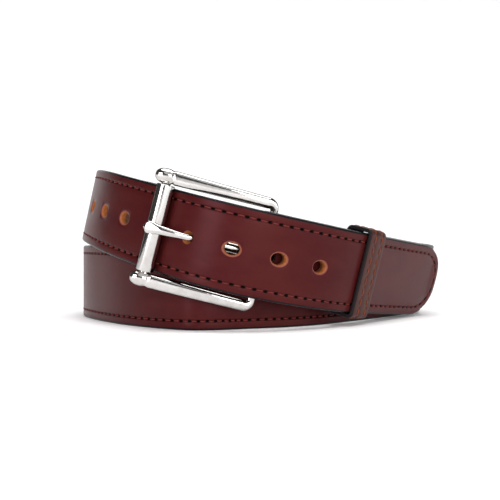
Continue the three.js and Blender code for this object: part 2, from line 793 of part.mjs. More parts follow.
function makeScrew(across) {
  const under = LAYER_GAP / 2;
  const profile = [[0, -SCREW_LENGTH], [SCREW_RADIUS, -SCREW_LENGTH], [SCREW_RADIUS, under],
    [POST_HEAD_RADIUS * 0.9, under], [POST_HEAD_RADIUS * 0.75, SCREW_HEAD_HEIGHT], [0, SCREW_HEAD_HEIGHT]];
  const geometry = new THREE.LatheGeometry(profile.map(([r, h]) => new THREE.Vector2(r, h)), 24);
  return layOnStrap(geometry.rotateX(Math.PI / 2), HEEL + POST_DISTANCE, across, 0);
}

// ---------------------------------------------------------------- zip

/** Places along the zip, in the lower turn. */
function zipPlaces(from, to) {
  return placesBetween(TURN + from, TURN + to);
}

/** A strip of the zip on one side of the slit: side is 1 above the middle and -1 below it. */
function zipStrip(side, gap, width, depth, thickness, from, to) {
  const near = STRAP_MIDDLE + (side * gap) / 2;
  const far = near + side * width;
  return strip(zipPlaces(from, to), Math.min(near, far), Math.max(near, far), depth, depth + thickness);
}

function makeTape(side) {
  return zipStrip(side, COIL_GAP, TAPE_WIDTH, TAPE_DEPTH, TAPE_THICKNESS, ZIP_FROM + 1, ZIP_TO - 1);
}

function makeCoil(side) {
  const from = ZIP_FROM + STOP_LENGTH + 2;
  return zipStrip(side, COIL_GAP, COIL_WIDTH, COIL_DEPTH, COIL_THICKNESS, from, ZIP_TO - STOP_LENGTH - 2);
}

/** A stop clamped over the end of one coil, or over both at the bottom. */
function makeStop(low, high, from) {
  const inner = COIL_DEPTH + COIL_THICKNESS + STOP_PROUD;
  return strip(zipPlaces(from, from + STOP_LENGTH), low, high, COIL_DEPTH, inner);
}

/** Lays a shape drawn along, across and out of the strap's outer face at the slider. */
function layOnSlider(geometry, depth) {
  return layOnStrap(geometry, TURN + SLIDER_PLACE, STRAP_MIDDLE, depth);
}

/** A lug that holds one end of the pull tab's pin, inside the slider's front plate. */
function makeLug(side) {
  const foot = SLIDER_FRONT_DEPTH[0] + LUG_SINK;
  const height = PIN_DEPTH + LUG_TOP - foot;
  const lug = new THREE.BoxGeometry(LUG_LENGTH, LUG_WIDTH, height);
  return layOnSlider(lug.translate(0, (side * (LUG_GAP + LUG_WIDTH)) / 2, 0), foot + height / 2);
}

function makeSlider() {
  const from = TURN + SLIDER_PLACE - SLIDER_LENGTH / 2;
  const places = [0, 1, 2, 3, 4].map((i) => from + (SLIDER_LENGTH * i) / 4);
  const half = SLIDER_WIDTH / 2;
  const plate = ([outer, inner], side) => (
    strip(places, STRAP_MIDDLE - side, STRAP_MIDDLE + side, outer, inner));
  const front = plate(SLIDER_FRONT_DEPTH, half);
  const back = plate(SLIDER_BACK_DEPTH, half - 0.6);
  const web = plate([SLIDER_BACK_DEPTH[0] + 0.1, SLIDER_FRONT_DEPTH[1] - 0.1], SLIDER_WEB / 2);
  const pin = new THREE.CylinderGeometry(PIN_RADIUS, PIN_RADIUS, LUG_GAP + LUG_WIDTH, 20);
  return join(front, [back, web, makeLug(1), makeLug(-1), layOnSlider(pin, PIN_DEPTH)]);
}

/** The pull tab, drawn flat from its pin and turned to its rest angle from the strap. */
function makePullTab() {
  const width = LUG_GAP - 2 * RUNNING_GAP;
  const boreRadius = PIN_RADIUS + RUNNING_GAP;
  const neck = new THREE.BoxGeometry(TAB_NECK, width, TAB_THICKNESS).translate(-0.65 * TAB_NECK, 0, 0);
  const plate = new THREE.BoxGeometry(TAB_LENGTH - TAB_NECK, TAB_WIDTH, TAB_THICKNESS);
  plate.translate(-(TAB_LENGTH + TAB_NECK) / 2, 0, 0);
  const eye = new THREE.CylinderGeometry(TAB_EYE_RADIUS, TAB_EYE_RADIUS, width, 20);
  const bore = new THREE.CylinderGeometry(boreRadius, boreRadius, 2 * width, 20);
  const tab = cut(join(eye, [neck, plate]), [bore]);
  return layOnSlider(tab.rotateY(-radians(TAB_ANGLE)), PIN_DEPTH);
}

// ---------------------------------------------------------------- assembly

const leather = new THREE.MeshStandardMaterial({ color: 0x4a1c1b, roughness: 0.38, metalness: 0 });
const keeperLeather = new THREE.MeshStandardMaterial({ color: 0x40201a, roughness: 0.42, metalness: 0 });
const lining = new THREE.MeshStandardMaterial({ color: 0x2c1a16, roughness: 0.7, metalness: 0 });
const nickel = new THREE.MeshStandardMaterial({ color: 0xc9c6c0, roughness: 0.12, metalness: 1 });
const tape = new THREE.MeshStandardMaterial({ color: 0x1c1a1a, roughness: 0.9, metalness: 0 });
const coil = new THREE.MeshStandardMaterial({ color: 0x242222, roughness: 0.5, metalness: 0 });

const belt = new THREE.Group();
const upperTurn = new THREE.Group();
upperTurn.rotation.copy(tiltRotation(1));
upperTurn.position.z = TILT_HEIGHT;
belt.add(upperTurn);
const buckle = new THREE.Group();
buckle.applyMatrix4(swayMatrix());
upperTurn.add(buckle);

/** Adds a named mesh to a group. */
function add(name, geometry, material, parent = belt) {
  const mesh = new THREE.Mesh(geometry, material);
  mesh.name = name;
  parent.add(mesh);
}

const rollerInside = ROLLER_RADIUS - ROLLER_WALL;
const stopLow = STRAP_MIDDLE - COIL_GAP / 2 - COIL_WIDTH;
const stopHigh = STRAP_MIDDLE + COIL_GAP / 2;
const topStop = ZIP_TO - STOP_LENGTH - 1;

add('outer_strap', makeOuterStrap(), leather);
add('lining_strap', makeLining(), lining);
add('buckle_frame', makeFrame(), nickel, buckle);
add('buckle_roller', tubeAt(rollerPoint, rollerInside, ROLLER_RADIUS, ROLLER_LENGTH), nickel, buckle);
add('buckle_tongue', makeTongue(), nickel, buckle);
add('keeper_loop', makeKeeper(), keeperLeather);
postAcross().forEach((across, i) => {
  add(`fold_post_${i + 1}`, makePost(across), nickel);
  add(`fold_screw_${i + 1}`, makeScrew(across), nickel);
});
add('zipper_tape_upper', makeTape(1), tape);
add('zipper_tape_lower', makeTape(-1), tape);
add('zipper_coil_upper', makeCoil(1), coil);
add('zipper_coil_lower', makeCoil(-1), coil);
add('zipper_top_stop_upper', makeStop(stopHigh, stopHigh + COIL_WIDTH, topStop), nickel);
add('zipper_top_stop_lower', makeStop(stopLow, stopLow + COIL_WIDTH, topStop), nickel);
add('zipper_bottom_stop', makeStop(stopLow, stopHigh + COIL_WIDTH, ZIP_FROM + 1), nickel);
add('zipper_slider', makeSlider(), nickel);
add('zipper_pull_tab', makePullTab(), nickel);

// The middle of the underside goes to the origin.
belt.updateMatrixWorld(true);
const box = new THREE.Box3().setFromObject(belt, true);
belt.position.set(-(box.min.x + box.max.x) / 2, -(box.min.y + box.max.y) / 2, -box.min.z);

export default belt;
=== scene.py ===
"""Looks of a coiled, buckled leather money belt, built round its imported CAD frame.

The strap is drawn flat, in strap coordinates, and then bent along the same path as the CAD strap:
along it from the buckle's heel bar, across it from its lower edge, and in depth below its outer face.
Those three are in millimetres. Everything that reaches Blender is in metres, in the row frame.
"""
import math
import random

import bmesh
import bpy
import numpy as np
from mathutils import Euler, Matrix, Vector


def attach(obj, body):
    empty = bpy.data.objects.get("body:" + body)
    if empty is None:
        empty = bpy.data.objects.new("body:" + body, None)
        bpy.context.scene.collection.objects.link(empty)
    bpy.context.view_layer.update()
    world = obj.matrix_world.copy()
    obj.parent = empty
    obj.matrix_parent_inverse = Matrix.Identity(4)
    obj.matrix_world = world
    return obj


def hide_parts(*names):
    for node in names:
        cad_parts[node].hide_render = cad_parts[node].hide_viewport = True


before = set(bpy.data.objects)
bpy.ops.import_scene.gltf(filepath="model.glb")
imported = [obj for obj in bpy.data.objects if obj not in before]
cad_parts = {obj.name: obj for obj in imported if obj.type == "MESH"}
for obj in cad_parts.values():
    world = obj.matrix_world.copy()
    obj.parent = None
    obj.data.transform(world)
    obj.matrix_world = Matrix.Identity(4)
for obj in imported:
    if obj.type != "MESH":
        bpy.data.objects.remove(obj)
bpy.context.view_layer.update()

MM = 0.001

# ---------------------------------------------------------------- sizes shared with the CAD part, in mm

STRAP_WIDTH = 38.1
STRAP_MIDDLE = STRAP_WIDTH / 2
STRAP_THICKNESS = 4.4
OUTER_THICKNESS = 2.7
SKIVED_THICKNESS = 2.0
LAYER_GAP = 0.2
LINING_DEPTH = OUTER_THICKNESS + LAYER_GAP
TIP_LENGTH = 24.0
TIP_ROUNDNESS = 2.2
TAIL_LENGTH = 119.0
FLAP_LENGTH = 40.0
LINING_START = 10.0
SKIVE_END = 14.0
RING = [(41, 19), (100, 36), (None, 76), (44, 105), (0, 40), (0, 80), (123, 28), (172, 15), (41, 37)]
TILT_ROLL = math.radians(13.3)
TILT_LEAN = math.radians(3.8)
TILT_HEIGHT = 17.5
GROUND_GAP = 0.5
HOLE_COUNT = 8
HOLE_PITCH = 21.8
HOLE_LENGTH = 7.4
HOLE_WIDTH = 5.4
LAST_HOLE = 41.8
USED_HOLE = 4
BAR_RADIUS = 1.7
FOLD_GAP = 0.6
RUNNING_GAP = 0.3
BUCKLE_END_OFFSET = 5.4
HEEL = 15.8
ROLLER_STATION = -38.4
ROLLER_RADIUS = 4.0
ROLLER_WALL = 1.8
ROLLER_LENGTH = 39.2
FRAME_INSIDE = 40.2
FRAME_BAR = 6.4
FRAME_BAR_HEEL = 5.0
FRAME_DEPTH = 4.6
FRAME_ARCH = 1.6
EAR_LENGTH = 10.0
EAR_WIDTH = 7.0
EAR_DEPTH = 5.6
EAR_SHIFT = 0.8
TONGUE_WIDTH = 4.6
TONGUE_THICKNESS = 2.2
TONGUE_SLOT = 6.4
TONGUE_EYE_WALL = 1.6
BUCKLE_SWAY = math.radians(1.4)
SWAY_PIVOT = 0.4
POST_DISTANCE = 19.0
POST_SPACING = 19.0
POST_HEAD_RADIUS = 4.8
POST_HEAD_HEIGHT = 1.1
POST_RADIUS = 2.4
POST_FLOOR = 0.6
SCREW_HEAD_HEIGHT = 0.6
SCREW_RADIUS = 1.3
SCREW_LENGTH = 4.6
KEEPER_STATION = 76.0
KEEPER_WIDTH = 15.0
KEEPER_THICKNESS = 1.8
KEEPER_PLAY = 0.5
POCKET_FROM = -150.0
POCKET_TO = 246.0
POCKET_MARGIN = 7.0
POCKET_DEPTH = 1.3
SLIT_WIDTH = 9.0
TAPE_DEPTH = 2.25
TAPE_THICKNESS = 0.4
TAPE_WIDTH = 10.5
COIL_DEPTH = 2.85
COIL_THICKNESS = 1.25
COIL_WIDTH = 2.0
COIL_GAP = 1.0
ZIP_FROM = -140.0
ZIP_TO = 240.0
STOP_LENGTH = 3.0
SLIDER_PLACE = 229.0
SLIDER_LENGTH = 9.0
SLIDER_BACK_DEPTH = (1.55, 2.0)
SLIDER_FRONT_DEPTH = (4.65, 5.4)
LUG_GAP = 3.2
LUG_WIDTH = 0.9
PIN_DEPTH = 7.1
PIN_RADIUS = 0.5
TAB_LENGTH = 16.0
TAB_WIDTH = 5.0
TAB_THICKNESS = 1.0
TAB_ANGLE = math.radians(45)
FOLD_RADIUS = SKIVED_THICKNESS + FOLD_GAP + BAR_RADIUS
FOLD_LENGTH = math.pi * FOLD_RADIUS
BELT_SHIFT = np.array([-16.93325, -88.1665, 0.0])

# ---------------------------------------------------------------- sizes of the visible detail, in mm

STITCH_PITCH = 5.2
STITCH_INSET = 4.2
ROWS_PER_STITCH = 6
THREAD_RADIUS = 0.29
THREAD_DIVE = 0.62
THREAD_REST = 0.02
GROOVE_DEPTH = 0.2
NEEDLE_PIT = 0.75
EDGE_RADIUS = 1.15
HOLE_RIM = 0.85
HOLE_RIM_DEPTH = 0.55
FRAME_VOXEL = 0.34
TONGUE_VOXEL = 0.28
TONGUE_WAIST = 0.36
KEEPER_ROWS = (-2.9, 3.4)
KEEPER_STITCH = 4.8
KEEPER_EDGE_RADIUS = 0.7
KEEPER_GROOVE = ((-0.8, 0.0), (-0.35, 0.12), (0.0, 0.16), (0.35, 0.12), (0.8, 0.0))
KEEPER_CROWN = 0.25
KEEPER_THREAD_RADIUS = 0.3
COIL_PITCH = 1.35
COIL_WIRE = 0.3
COIL_LOOP = 0.55
COIL_OVERLAP = 0.15
COIL_HEAD = 0.35
COIL_ROOT = 2.3
COIL_RISE = 0.33
COIL_LEAN = 0.16
SLIDER_WEDGE = 0.3
SCREW_SLOT_DEPTH = 0.38

# ---------------------------------------------------------------- the strap's path


def smooth(x):
    x = np.clip(x, 0.0, 1.0)
    return x * x * (3 - 2 * x)


def curve_through(knots, place):
    """A smooth curve of a value through (place, value) knots, level past both ends."""
    if place <= knots[0][0]:
        return knots[0][1]
    if place >= knots[-1][0]:
        return knots[-1][1]
    i = max(j for j in range(len(knots) - 1) if knots[j][0] <= place)

    def slope(j):
        if j <= 0 or j >= len(knots) - 1:
            return 0.0
        before = knots[j][1] - knots[j - 1][1]
        after = knots[j + 1][1] - knots[j][1]
        if before * after <= 0:
            return 0.0
        return (before + after) / (knots[j + 1][0] - knots[j - 1][0])

    span = knots[i + 1][0] - knots[i][0]
    x = (place - knots[i][0]) / span
    rise = knots[i + 1][1] - knots[i][1]
    ease = x * (1 - x) ** 2 * slope(i) - x * x * (1 - x) * slope(i + 1)
    return knots[i][1] + rise * x * x * (3 - 2 * x) + span * ease


def unit_arc(start, end):
    """Displacement along an arc of unit radius between two headings."""
    return np.array([math.sin(end) - math.sin(start), math.cos(start) - math.cos(end)])


def make_ring():
    """The arcs of the ring as (start, length, x, y, heading, turn, radius); two radii close it."""
    open_arcs = []
    total = np.zeros(2)
    heading = 0.0
    plan = []
    for radius, size in RING:
        turn = 0.0 if radius is None else math.radians(size)
        if radius is None:
            total += size * np.array([math.cos(heading), math.sin(heading)])
        elif radius == 0:
            open_arcs.append((len(plan), unit_arc(heading, heading + turn)))
        else:
            total += radius * unit_arc(heading, heading + turn)
        plan.append([radius, size, heading, turn])
        heading += turn
    (i, a), (j, b) = open_arcs
    solved = np.linalg.solve(np.array([a, b]).T, -total)
    plan[i][0], plan[j][0] = solved
    arcs = []
    start = 0.0
    at = np.zeros(2)
    for radius, size, angle, turn in plan:
        length = size if radius is None else radius * turn
        arcs.append((start, length, at, angle, turn, radius))
        start += length
        at = on_arc(arcs[-1], length)[0]
    return arcs, start


def on_arc(arc, distance):
    """The point and heading at a distance along one arc of the ring."""
    _, length, at, angle, turn, radius = arc
    if radius is None:
        return at + distance * np.array([math.cos(angle), math.sin(angle)]), angle
    heading = angle + turn * distance / length
    return at + radius * unit_arc(angle, heading), heading


ARCS, TURN = make_ring()
TIP = 2 * TURN + LAST_HOLE + TAIL_LENGTH
# How far inside the ring the strap lies, and its share of the full tilt, at places along it
INSET = [
    (HEEL, BUCKLE_END_OFFSET), (165, BUCKLE_END_OFFSET), (265, 0.8), (TURN - 230, 0.4),
    (TURN - 150, 1.2), (TURN - 97, 7.2), (TURN - 50, 7.8), (TURN - 26, 9.5), (TURN, 17.5),
    (TURN + 20, 20), (TURN + 50, 18.5), (TURN + 90, 15.5), (TURN + 140, 12.8), (TURN + 240, 12.8),
    (TURN + 280, 8.5), (TURN + 325, 5.9), (TURN + 390, 5.3), (TURN + 440, 0),
    (2 * TURN + 150, 0), (2 * TURN + 161, -1.1),
]
TILT = [
    (145, 1), (270, 0), (TURN + 232, 0), (TURN + 350, 0.86), (2 * TURN - 150, 0.95),
    (2 * TURN - 90, 1),
]


def ring_at(place):
    """The ring's point and heading at a place, any number of turns along."""
    along = place % TURN
    arc = [candidate for candidate in ARCS if candidate[0] <= along][-1]
    return on_arc(arc, along - arc[0])


def plan_at(place):
    """The strap's outer face seen from above."""
    at, heading = ring_at(place)
    inset = curve_through(INSET, place)
    return at + inset * np.array([-math.sin(heading), math.cos(heading)])


def tilt_matrix(amount):
    rotation = Euler((TILT_LEAN * amount, 0, 0)).to_matrix() @ Euler((0, TILT_ROLL * amount, 0)).to_matrix()
    return np.array(rotation)


def frame_at(place):
    """Origin, along, across and inward of the strap at a place, in mm."""
    step = 0.5
    softness = 0.5
    at = plan_at(place)
    along = plan_at(place + step) - plan_at(place - step)
    along = np.array([along[0], along[1], 0.0]) / np.linalg.norm(along)
    inward = np.array([-along[1], along[0], 0.0])
    amount = curve_through(TILT, place)
    turn = tilt_matrix(amount)
    origin = turn @ np.array([at[0], at[1], 0.0])
    origin[2] += TILT_HEIGHT * amount
    lifted = min(1.0, amount * 5)
    origin[2] += softness * math.log1p(math.exp((GROUND_GAP * lifted - origin[2]) / softness)) * lifted
    return np.stack([origin + BELT_SHIFT, turn @ along, turn[:, 2], turn @ inward])


TABLE_STEP = 0.5
TABLE_FROM = HEEL - 1
TABLE_SIZE = int((TIP - TABLE_FROM) / TABLE_STEP) + 12
TABLE = np.array([frame_at(TABLE_FROM + i * TABLE_STEP) for i in range(TABLE_SIZE)])


def frames(places):
    """The strap's frames at many places, read from the table."""
    k = np.clip((np.asarray(places, float) - TABLE_FROM) / TABLE_STEP, 0, len(TABLE) - 1.001)
    low = k.astype(int)
    share = (k - low)[:, None, None]
    return TABLE[low] * (1 - share) + TABLE[low + 1] * share


def flap_depth(distance):
    """Depth of the flap's far face below the strap's outer face, at a distance from the fold."""
    settled = STRAP_THICKNESS + LAYER_GAP + SKIVED_THICKNESS
    return settled + (2 * FOLD_RADIUS - settled) * (1 - smooth(distance / LINING_START / 1.5))


def bend(points):
    """Strap coordinates in mm to the row frame in metres; short of the heel bar they go round the fold."""
    s, t, n = np.asarray(points, float).T
    flap = s < HEEL - FOLD_LENGTH
    folded = (s < HEEL) & ~flap
    angle = np.clip((HEEL - s) / FOLD_RADIUS, 0, math.pi)
    distance = HEEL - FOLD_LENGTH - s
    place = np.where(flap, HEEL + distance, np.maximum(s, HEEL))
    depth = np.where(flap, flap_depth(distance) - n, n)
    depth = np.where(folded, FOLD_RADIUS - (FOLD_RADIUS - n) * np.cos(angle), depth)
    forward = np.where(folded, -(FOLD_RADIUS - n) * np.sin(angle), 0.0)
    at = frames(place)
    spot = at[:, 0] + at[:, 1] * forward[:, None] + at[:, 2] * t[:, None] + at[:, 3] * depth[:, None]
    return spot * MM


def tier(points):
    """Points of the upper turn's own plane in mm to the row frame in metres."""
    points = np.asarray(points, float)
    return (points @ tilt_matrix(1).T + np.array([0, 0, TILT_HEIGHT]) + BELT_SHIFT) * MM


def buckle_space(points):
    """Points of the buckle, drawn square to the strap, with its small sway in the upper turn's plane."""
    points = np.asarray(points, float)
    pivot = ROLLER_POINT + (HEEL_POINT - ROLLER_POINT) * SWAY_PIVOT
    turn = np.array(Matrix.Rotation(-BUCKLE_SWAY, 3, Vector(BUCKLE_OUT)))
    return tier((points - pivot) @ turn.T + pivot)


def tier_point(station, depth):
    """A point of the ring's upper turn in its own plane, at a depth inside the ring."""
    at, heading = ring_at(station)
    return np.array([at[0] - depth * math.sin(heading), at[1] + depth * math.cos(heading), STRAP_MIDDLE])


# ---------------------------------------------------------------- mesh code


def circle(radius, count):
    """Points round a circle."""
    angles = np.linspace(0, 2 * math.pi, count, endpoint=False)
    return [(radius * math.cos(angle), radius * math.sin(angle)) for angle in angles]


def link(made):
    bpy.context.scene.collection.objects.link(made)


def loft(rings, closed=False, ends=True):
    """Vertices and faces of a skin over rings of points that all have the same count."""
    count = len(rings[0])
    rows = len(rings)
    faces = []
    for i in range(rows if closed else rows - 1):
        near = i * count
        far = ((i + 1) % rows) * count
        for j in range(count):
            k = (j + 1) % count
            faces.append((near + j, far + j, far + k, near + k))
    if not closed and ends:
        faces.append(tuple(range(count)))
        faces.append(tuple(reversed(range((rows - 1) * count, rows * count))))
    return np.concatenate([np.asarray(ring, float) for ring in rings]), faces


def joined(parts):
    """Several (vertices, faces) as one."""
    vertices = []
    faces = []
    start = 0
    for points, polygons in parts:
        vertices.append(points)
        faces.extend(tuple(start + i for i in polygon) for polygon in polygons)
        start += len(points)
    return np.concatenate(vertices), faces


def make_object(name, vertices, faces, material=None):
    """A mesh object with outward faces, not yet on a body."""
    mesh = bpy.data.meshes.new(name)
    mesh.from_pydata([tuple(map(float, v)) for v in vertices], [], faces)
    work = bmesh.new()
    work.from_mesh(mesh)
    bmesh.ops.remove_doubles(work, verts=work.verts, dist=1e-6)
    bmesh.ops.recalc_face_normals(work, faces=work.faces)
    work.to_mesh(mesh)
    work.free()
    made = bpy.data.objects.new(name, mesh)
    link(made)
    if material:
        mesh.materials.append(material)
    return made


def apply_modifiers(made):
    """Turns an object's modifiers into its mesh."""
    bpy.context.view_layer.update()
    graph = bpy.context.evaluated_depsgraph_get()
    mesh = bpy.data.meshes.new_from_object(made.evaluated_get(graph))
    made.modifiers.clear()
    made.data = mesh


def finish_surface(made, sharp=35.0):
    """Smooth shading with sharp edges above an angle in degrees."""
    made.data.polygons.foreach_set("use_smooth", [True] * len(made.data.polygons))
    made.data.set_sharp_from_angle(angle=math.radians(sharp))


def carve(made, cutter):
    """Cuts one object from another, and removes the cutter."""
    boolean = made.modifiers.new("carve", "BOOLEAN")
    boolean.operation = "DIFFERENCE"
    boolean.solver = "EXACT"
    boolean.object = cutter
    apply_modifiers(made)
    bpy.data.objects.remove(cutter)


def remeshed(made, voxel, rounds):
    """Blends an object's overlapping solids into one smooth skin; the voxel is in mm."""
    remesh = made.modifiers.new("remesh", "REMESH")
    remesh.mode = "VOXEL"
    remesh.voxel_size = voxel * MM
    relax = made.modifiers.new("relax", "SMOOTH")
    relax.factor = 0.5
    relax.iterations = rounds
    apply_modifiers(made)
    made.data.polygons.foreach_set("use_smooth", [True] * len(made.data.polygons))


def place_piece(made, body, slot, *nodes):
    """Puts a finished piece on its body, in place of its CAD nodes."""
    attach(made, body)
    if nodes:
        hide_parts(*nodes)
    return made


def coordinates(mesh):
    """All of a mesh's points."""
    values = np.zeros(len(mesh.vertices) * 3, np.float32)
    mesh.vertices.foreach_get("co", values)
    return values.reshape(-1, 3).astype(float)


def set_coordinates(mesh, points):
    mesh.vertices.foreach_set("co", np.asarray(points, np.float32).ravel())
    mesh.update()


def set_vectors(mesh, name, values):
    """Keeps a vector at each point, for a material to read."""
    layer = mesh.attributes.new(name, "FLOAT_VECTOR", "POINT")
    layer.data.foreach_set("vector", np.asarray(values, np.float32).ravel())


# ---------------------------------------------------------------- the strap's flat outline


def make_outline():
    """Rows from the flap's end to the tip: edge point, inward normal and stitch count."""
    step = STITCH_PITCH / ROWS_PER_STITCH
    straight_end = TIP - TIP_LENGTH
    flap_end = HEEL - FOLD_LENGTH - FLAP_LENGTH
    count = int((straight_end - flap_end) / step)
    rows = [(flap_end, 0.0, 0.0, 1.0, (flap_end - straight_end) / STITCH_PITCH)]
    for i in range(count, 0, -1):
        s = straight_end - i * step
        if s - flap_end > step / 2:
            rows.append((s, 0.0, 0.0, 1.0, -i / ROWS_PER_STITCH))
    angles = np.linspace(0, math.pi / 2, 2001)
    power = 2 / TIP_ROUNDNESS
    s = TIP - TIP_LENGTH * (1 - np.sin(angles) ** power)
    t = STRAP_MIDDLE * (1 - np.cos(angles) ** power)
    ds = np.gradient(s)
    dt = np.gradient(t)
    size = np.hypot(ds, dt)
    normal_s = -dt / size
    normal_t = ds / size
    normal_s[0], normal_t[0] = 0.0, 1.0
    normal_s[-1], normal_t[-1] = -1.0, 0.0
    seam_s = s + normal_s * STITCH_INSET
    seam_t = t + normal_t * STITCH_INSET
    run = np.concatenate([[0], np.cumsum(np.hypot(np.diff(seam_s), np.diff(seam_t)))])
    stitches = round(run[-1] / STITCH_PITCH)
    marks = np.linspace(0, run[-1], stitches * ROWS_PER_STITCH + 1)
    for i, mark in enumerate(marks):
        row = [np.interp(mark, run, values) for values in (s, t, normal_s, normal_t)]
        size = math.hypot(row[2], row[3])
        rows.append((row[0], row[1], row[2] / size, row[3] / size, i / ROWS_PER_STITCH))
    return np.array(rows), float(stitches)


OUTLINE, TIP_STITCHES = make_outline()


def layer_rings(rows, face_profile, back_profile, inner_steps):
    """Rings over outline rows. Profiles are (distance from the edge, depth) functions of the row."""
    rings = []
    for row in rows:
        s, t, ns, nt, _ = row
        face = face_profile(row)
        back = back_profile(row)
        low = [(s + ns * d, t + nt * d, n) for d, n in face]
        high = [(s + ns * d, STRAP_WIDTH - t - nt * d, n) for d, n in reversed(face)]
        a = np.array(low[-1])
        b = np.array(high[0])
        inner = [tuple(a + (b - a) * k / inner_steps) for k in range(1, inner_steps)]
        back_high = [(s + ns * d, STRAP_WIDTH - t - nt * d, n) for d, n in back]
        back_low = [(s + ns * d, t + nt * d, n) for d, n in reversed(back)]
        rings.append(low + inner + high + back_high + back_low)
    return rings


def outer_thickness(s):
    grown = float(smooth((s - HEEL - LINING_START / 2) / (SKIVE_END - LINING_START / 2)))
    return SKIVED_THICKNESS + (OUTER_THICKNESS + 0.08 - SKIVED_THICKNESS) * grown


def seam_depth(row, started):
    """How deep the stitch groove's middle lies at a row: deeper at a needle hole."""
    q = row[4]
    gap = abs(q - round(q)) * ROWS_PER_STITCH
    pit = NEEDLE_PIT * max(0.0, 1 - 0.55 * gap)
    return (GROOVE_DEPTH + pit) if started(row) else 0.0


def stitched(row):
    return row[0] > HEEL + SKIVE_END


def face_points(row, sign, surface):
    """A leather face from its rounded edge to inside the stitch groove."""
    deep = seam_depth(row, stitched)
    groove = GROOVE_DEPTH if stitched(row) else 0.0
    radius = EDGE_RADIUS
    points = []
    for i in range(6):
        angle = math.pi / 2 * i / 5
        points.append((radius * (1 - math.cos(angle)), surface + sign * radius * (1 - math.sin(angle))))
    for d, n in ((-1.1, 0.0), (-0.6, 0.35 * groove), (-0.34, 0.45 * (groove + deep)), (0.0, deep),
                 (0.34, 0.45 * (groove + deep)), (0.6, 0.35 * groove), (1.1, 0.0)):
        points.append((STITCH_INSET + d, surface + sign * n))
    return points


def outer_face(row):
    return face_points(row, 1, 0.0)


def outer_back(row):
    thick = outer_thickness(row[0])
    return [(0.0, thick - 0.2), (0.14, thick)]


def lining_face(_):
    return [(0.0, LINING_DEPTH + 0.14), (0.14, LINING_DEPTH - 0.06)]


def lining_back(row):
    return face_points(row, -1, STRAP_THICKNESS)


def oval(length, width, count=48, power=2.0):
    """Points round an oval."""
    points = []
    for i in range(count):
        angle = 2 * math.pi * i / count
        c, s = math.cos(angle), math.sin(angle)
        points.append((length / 2 * math.copysign(abs(c) ** (2 / power), c),
                       width / 2 * math.copysign(abs(s) ** (2 / power), s)))
    return points


def pill(length, width, count=12):
    """Points round a slot with round ends."""
    points = []
    straight = (length - width) / 2
    for side, start in ((1, -math.pi / 2), (-1, math.pi / 2)):
        for i in range(count + 1):
            angle = start + math.pi * i / count
            points.append((side * straight + width / 2 * math.cos(angle), width / 2 * math.sin(angle)))
    return points


def bar_through(place, across, sections):
    """A bar through the flat strap: sections are (depth, points round it)."""
    return loft([[(place + x, across + y, depth) for x, y in points] for depth, points in sections])


def hole_places():
    return [2 * TURN + LAST_HOLE - (HOLE_COUNT - 1 - i) * HOLE_PITCH for i in range(HOLE_COUNT)]


def hole_bars():
    """The sizing holes, flared at the face."""
    sections = []
    for depth, grow in ((-0.4, 2.5), (0.0, 2.0), (0.12, 1.45), (0.3, 0.75), (HOLE_RIM_DEPTH, 0.3),
                        (1.0, 0.0), (STRAP_THICKNESS + 1, 0.0)):
        sections.append((depth, oval(HOLE_LENGTH + HOLE_RIM * grow, HOLE_WIDTH + HOLE_RIM * grow)))
    places = hole_places()
    used = places.pop(USED_HOLE)
    return [bar_through(place, STRAP_MIDDLE, sections) for place in places] + [used_hole_bar(used)]


def post_across():
    return [STRAP_MIDDLE - POST_SPACING / 2, STRAP_MIDDLE + POST_SPACING / 2]


def post_bars():
    places = [HEEL + POST_DISTANCE, HEEL - FOLD_LENGTH - POST_DISTANCE]
    width = 2 * (POST_RADIUS + LAYER_GAP)
    return [bar_through(place, across, [(-1, oval(width, width, 24)), (6, oval(width, width, 24))])
            for place in places for across in post_across()]


def long_bar(start, finish, sections, step=2.0):
    """A long bar with round ends, in short lengths so that it can bend: sections are (depth, width)."""
    radius = sections[0][1] / 2
    turn = [radius * (1 - math.cos(math.pi / 2 * i / 8)) for i in range(9)]
    count = int((finish - start - 2 * radius) / step)
    straight = np.linspace(start + radius, finish - radius, count + 1)[1:-1]
    places = [start + x for x in turn] + list(straight) + [finish - x for x in reversed(turn)]
    rings = []
    for place in places:
        short = max(0.0, 1 - min(place - start, finish - place) / radius)
        share = max(0.04, math.sqrt(max(0.0, 1 - short ** 2)))
        low = [(place, STRAP_MIDDLE - width / 2 * share, depth) for depth, width in sections]
        high = [(place, STRAP_MIDDLE + width / 2 * share, depth) for depth, width in reversed(sections)]
        rings.append(low + high)
    return loft(rings)


def pocket_bar():
    width = STRAP_WIDTH - 2 * POCKET_MARGIN
    sections = [(POCKET_DEPTH, width), (LINING_DEPTH + 1, width)]
    return long_bar(TURN + POCKET_FROM, TURN + POCKET_TO, sections)


def slit_bar():
    sections = [(LINING_DEPTH - 1, SLIT_WIDTH), (STRAP_THICKNESS - 0.5, SLIT_WIDTH),
                (STRAP_THICKNESS - 0.1, SLIT_WIDTH + 0.5), (STRAP_THICKNESS + 1, SLIT_WIDTH + 0.9)]
    return long_bar(TURN + ZIP_FROM, TURN + ZIP_TO, sections)


def flatten(points, start):
    """Strap coordinates of points near a place on the strap: the bend, undone step by step."""
    flat = np.tile(np.array(start, float), (len(points), 1))
    nudge = 0.01
    for _ in range(8):
        here = bend(flat)
        slopes = np.stack([(bend(flat + nudge * axis) - here) / nudge for axis in np.eye(3)], 2)
        flat += np.linalg.solve(slopes, (points - here)[:, :, None])[:, :, 0]
    return flat


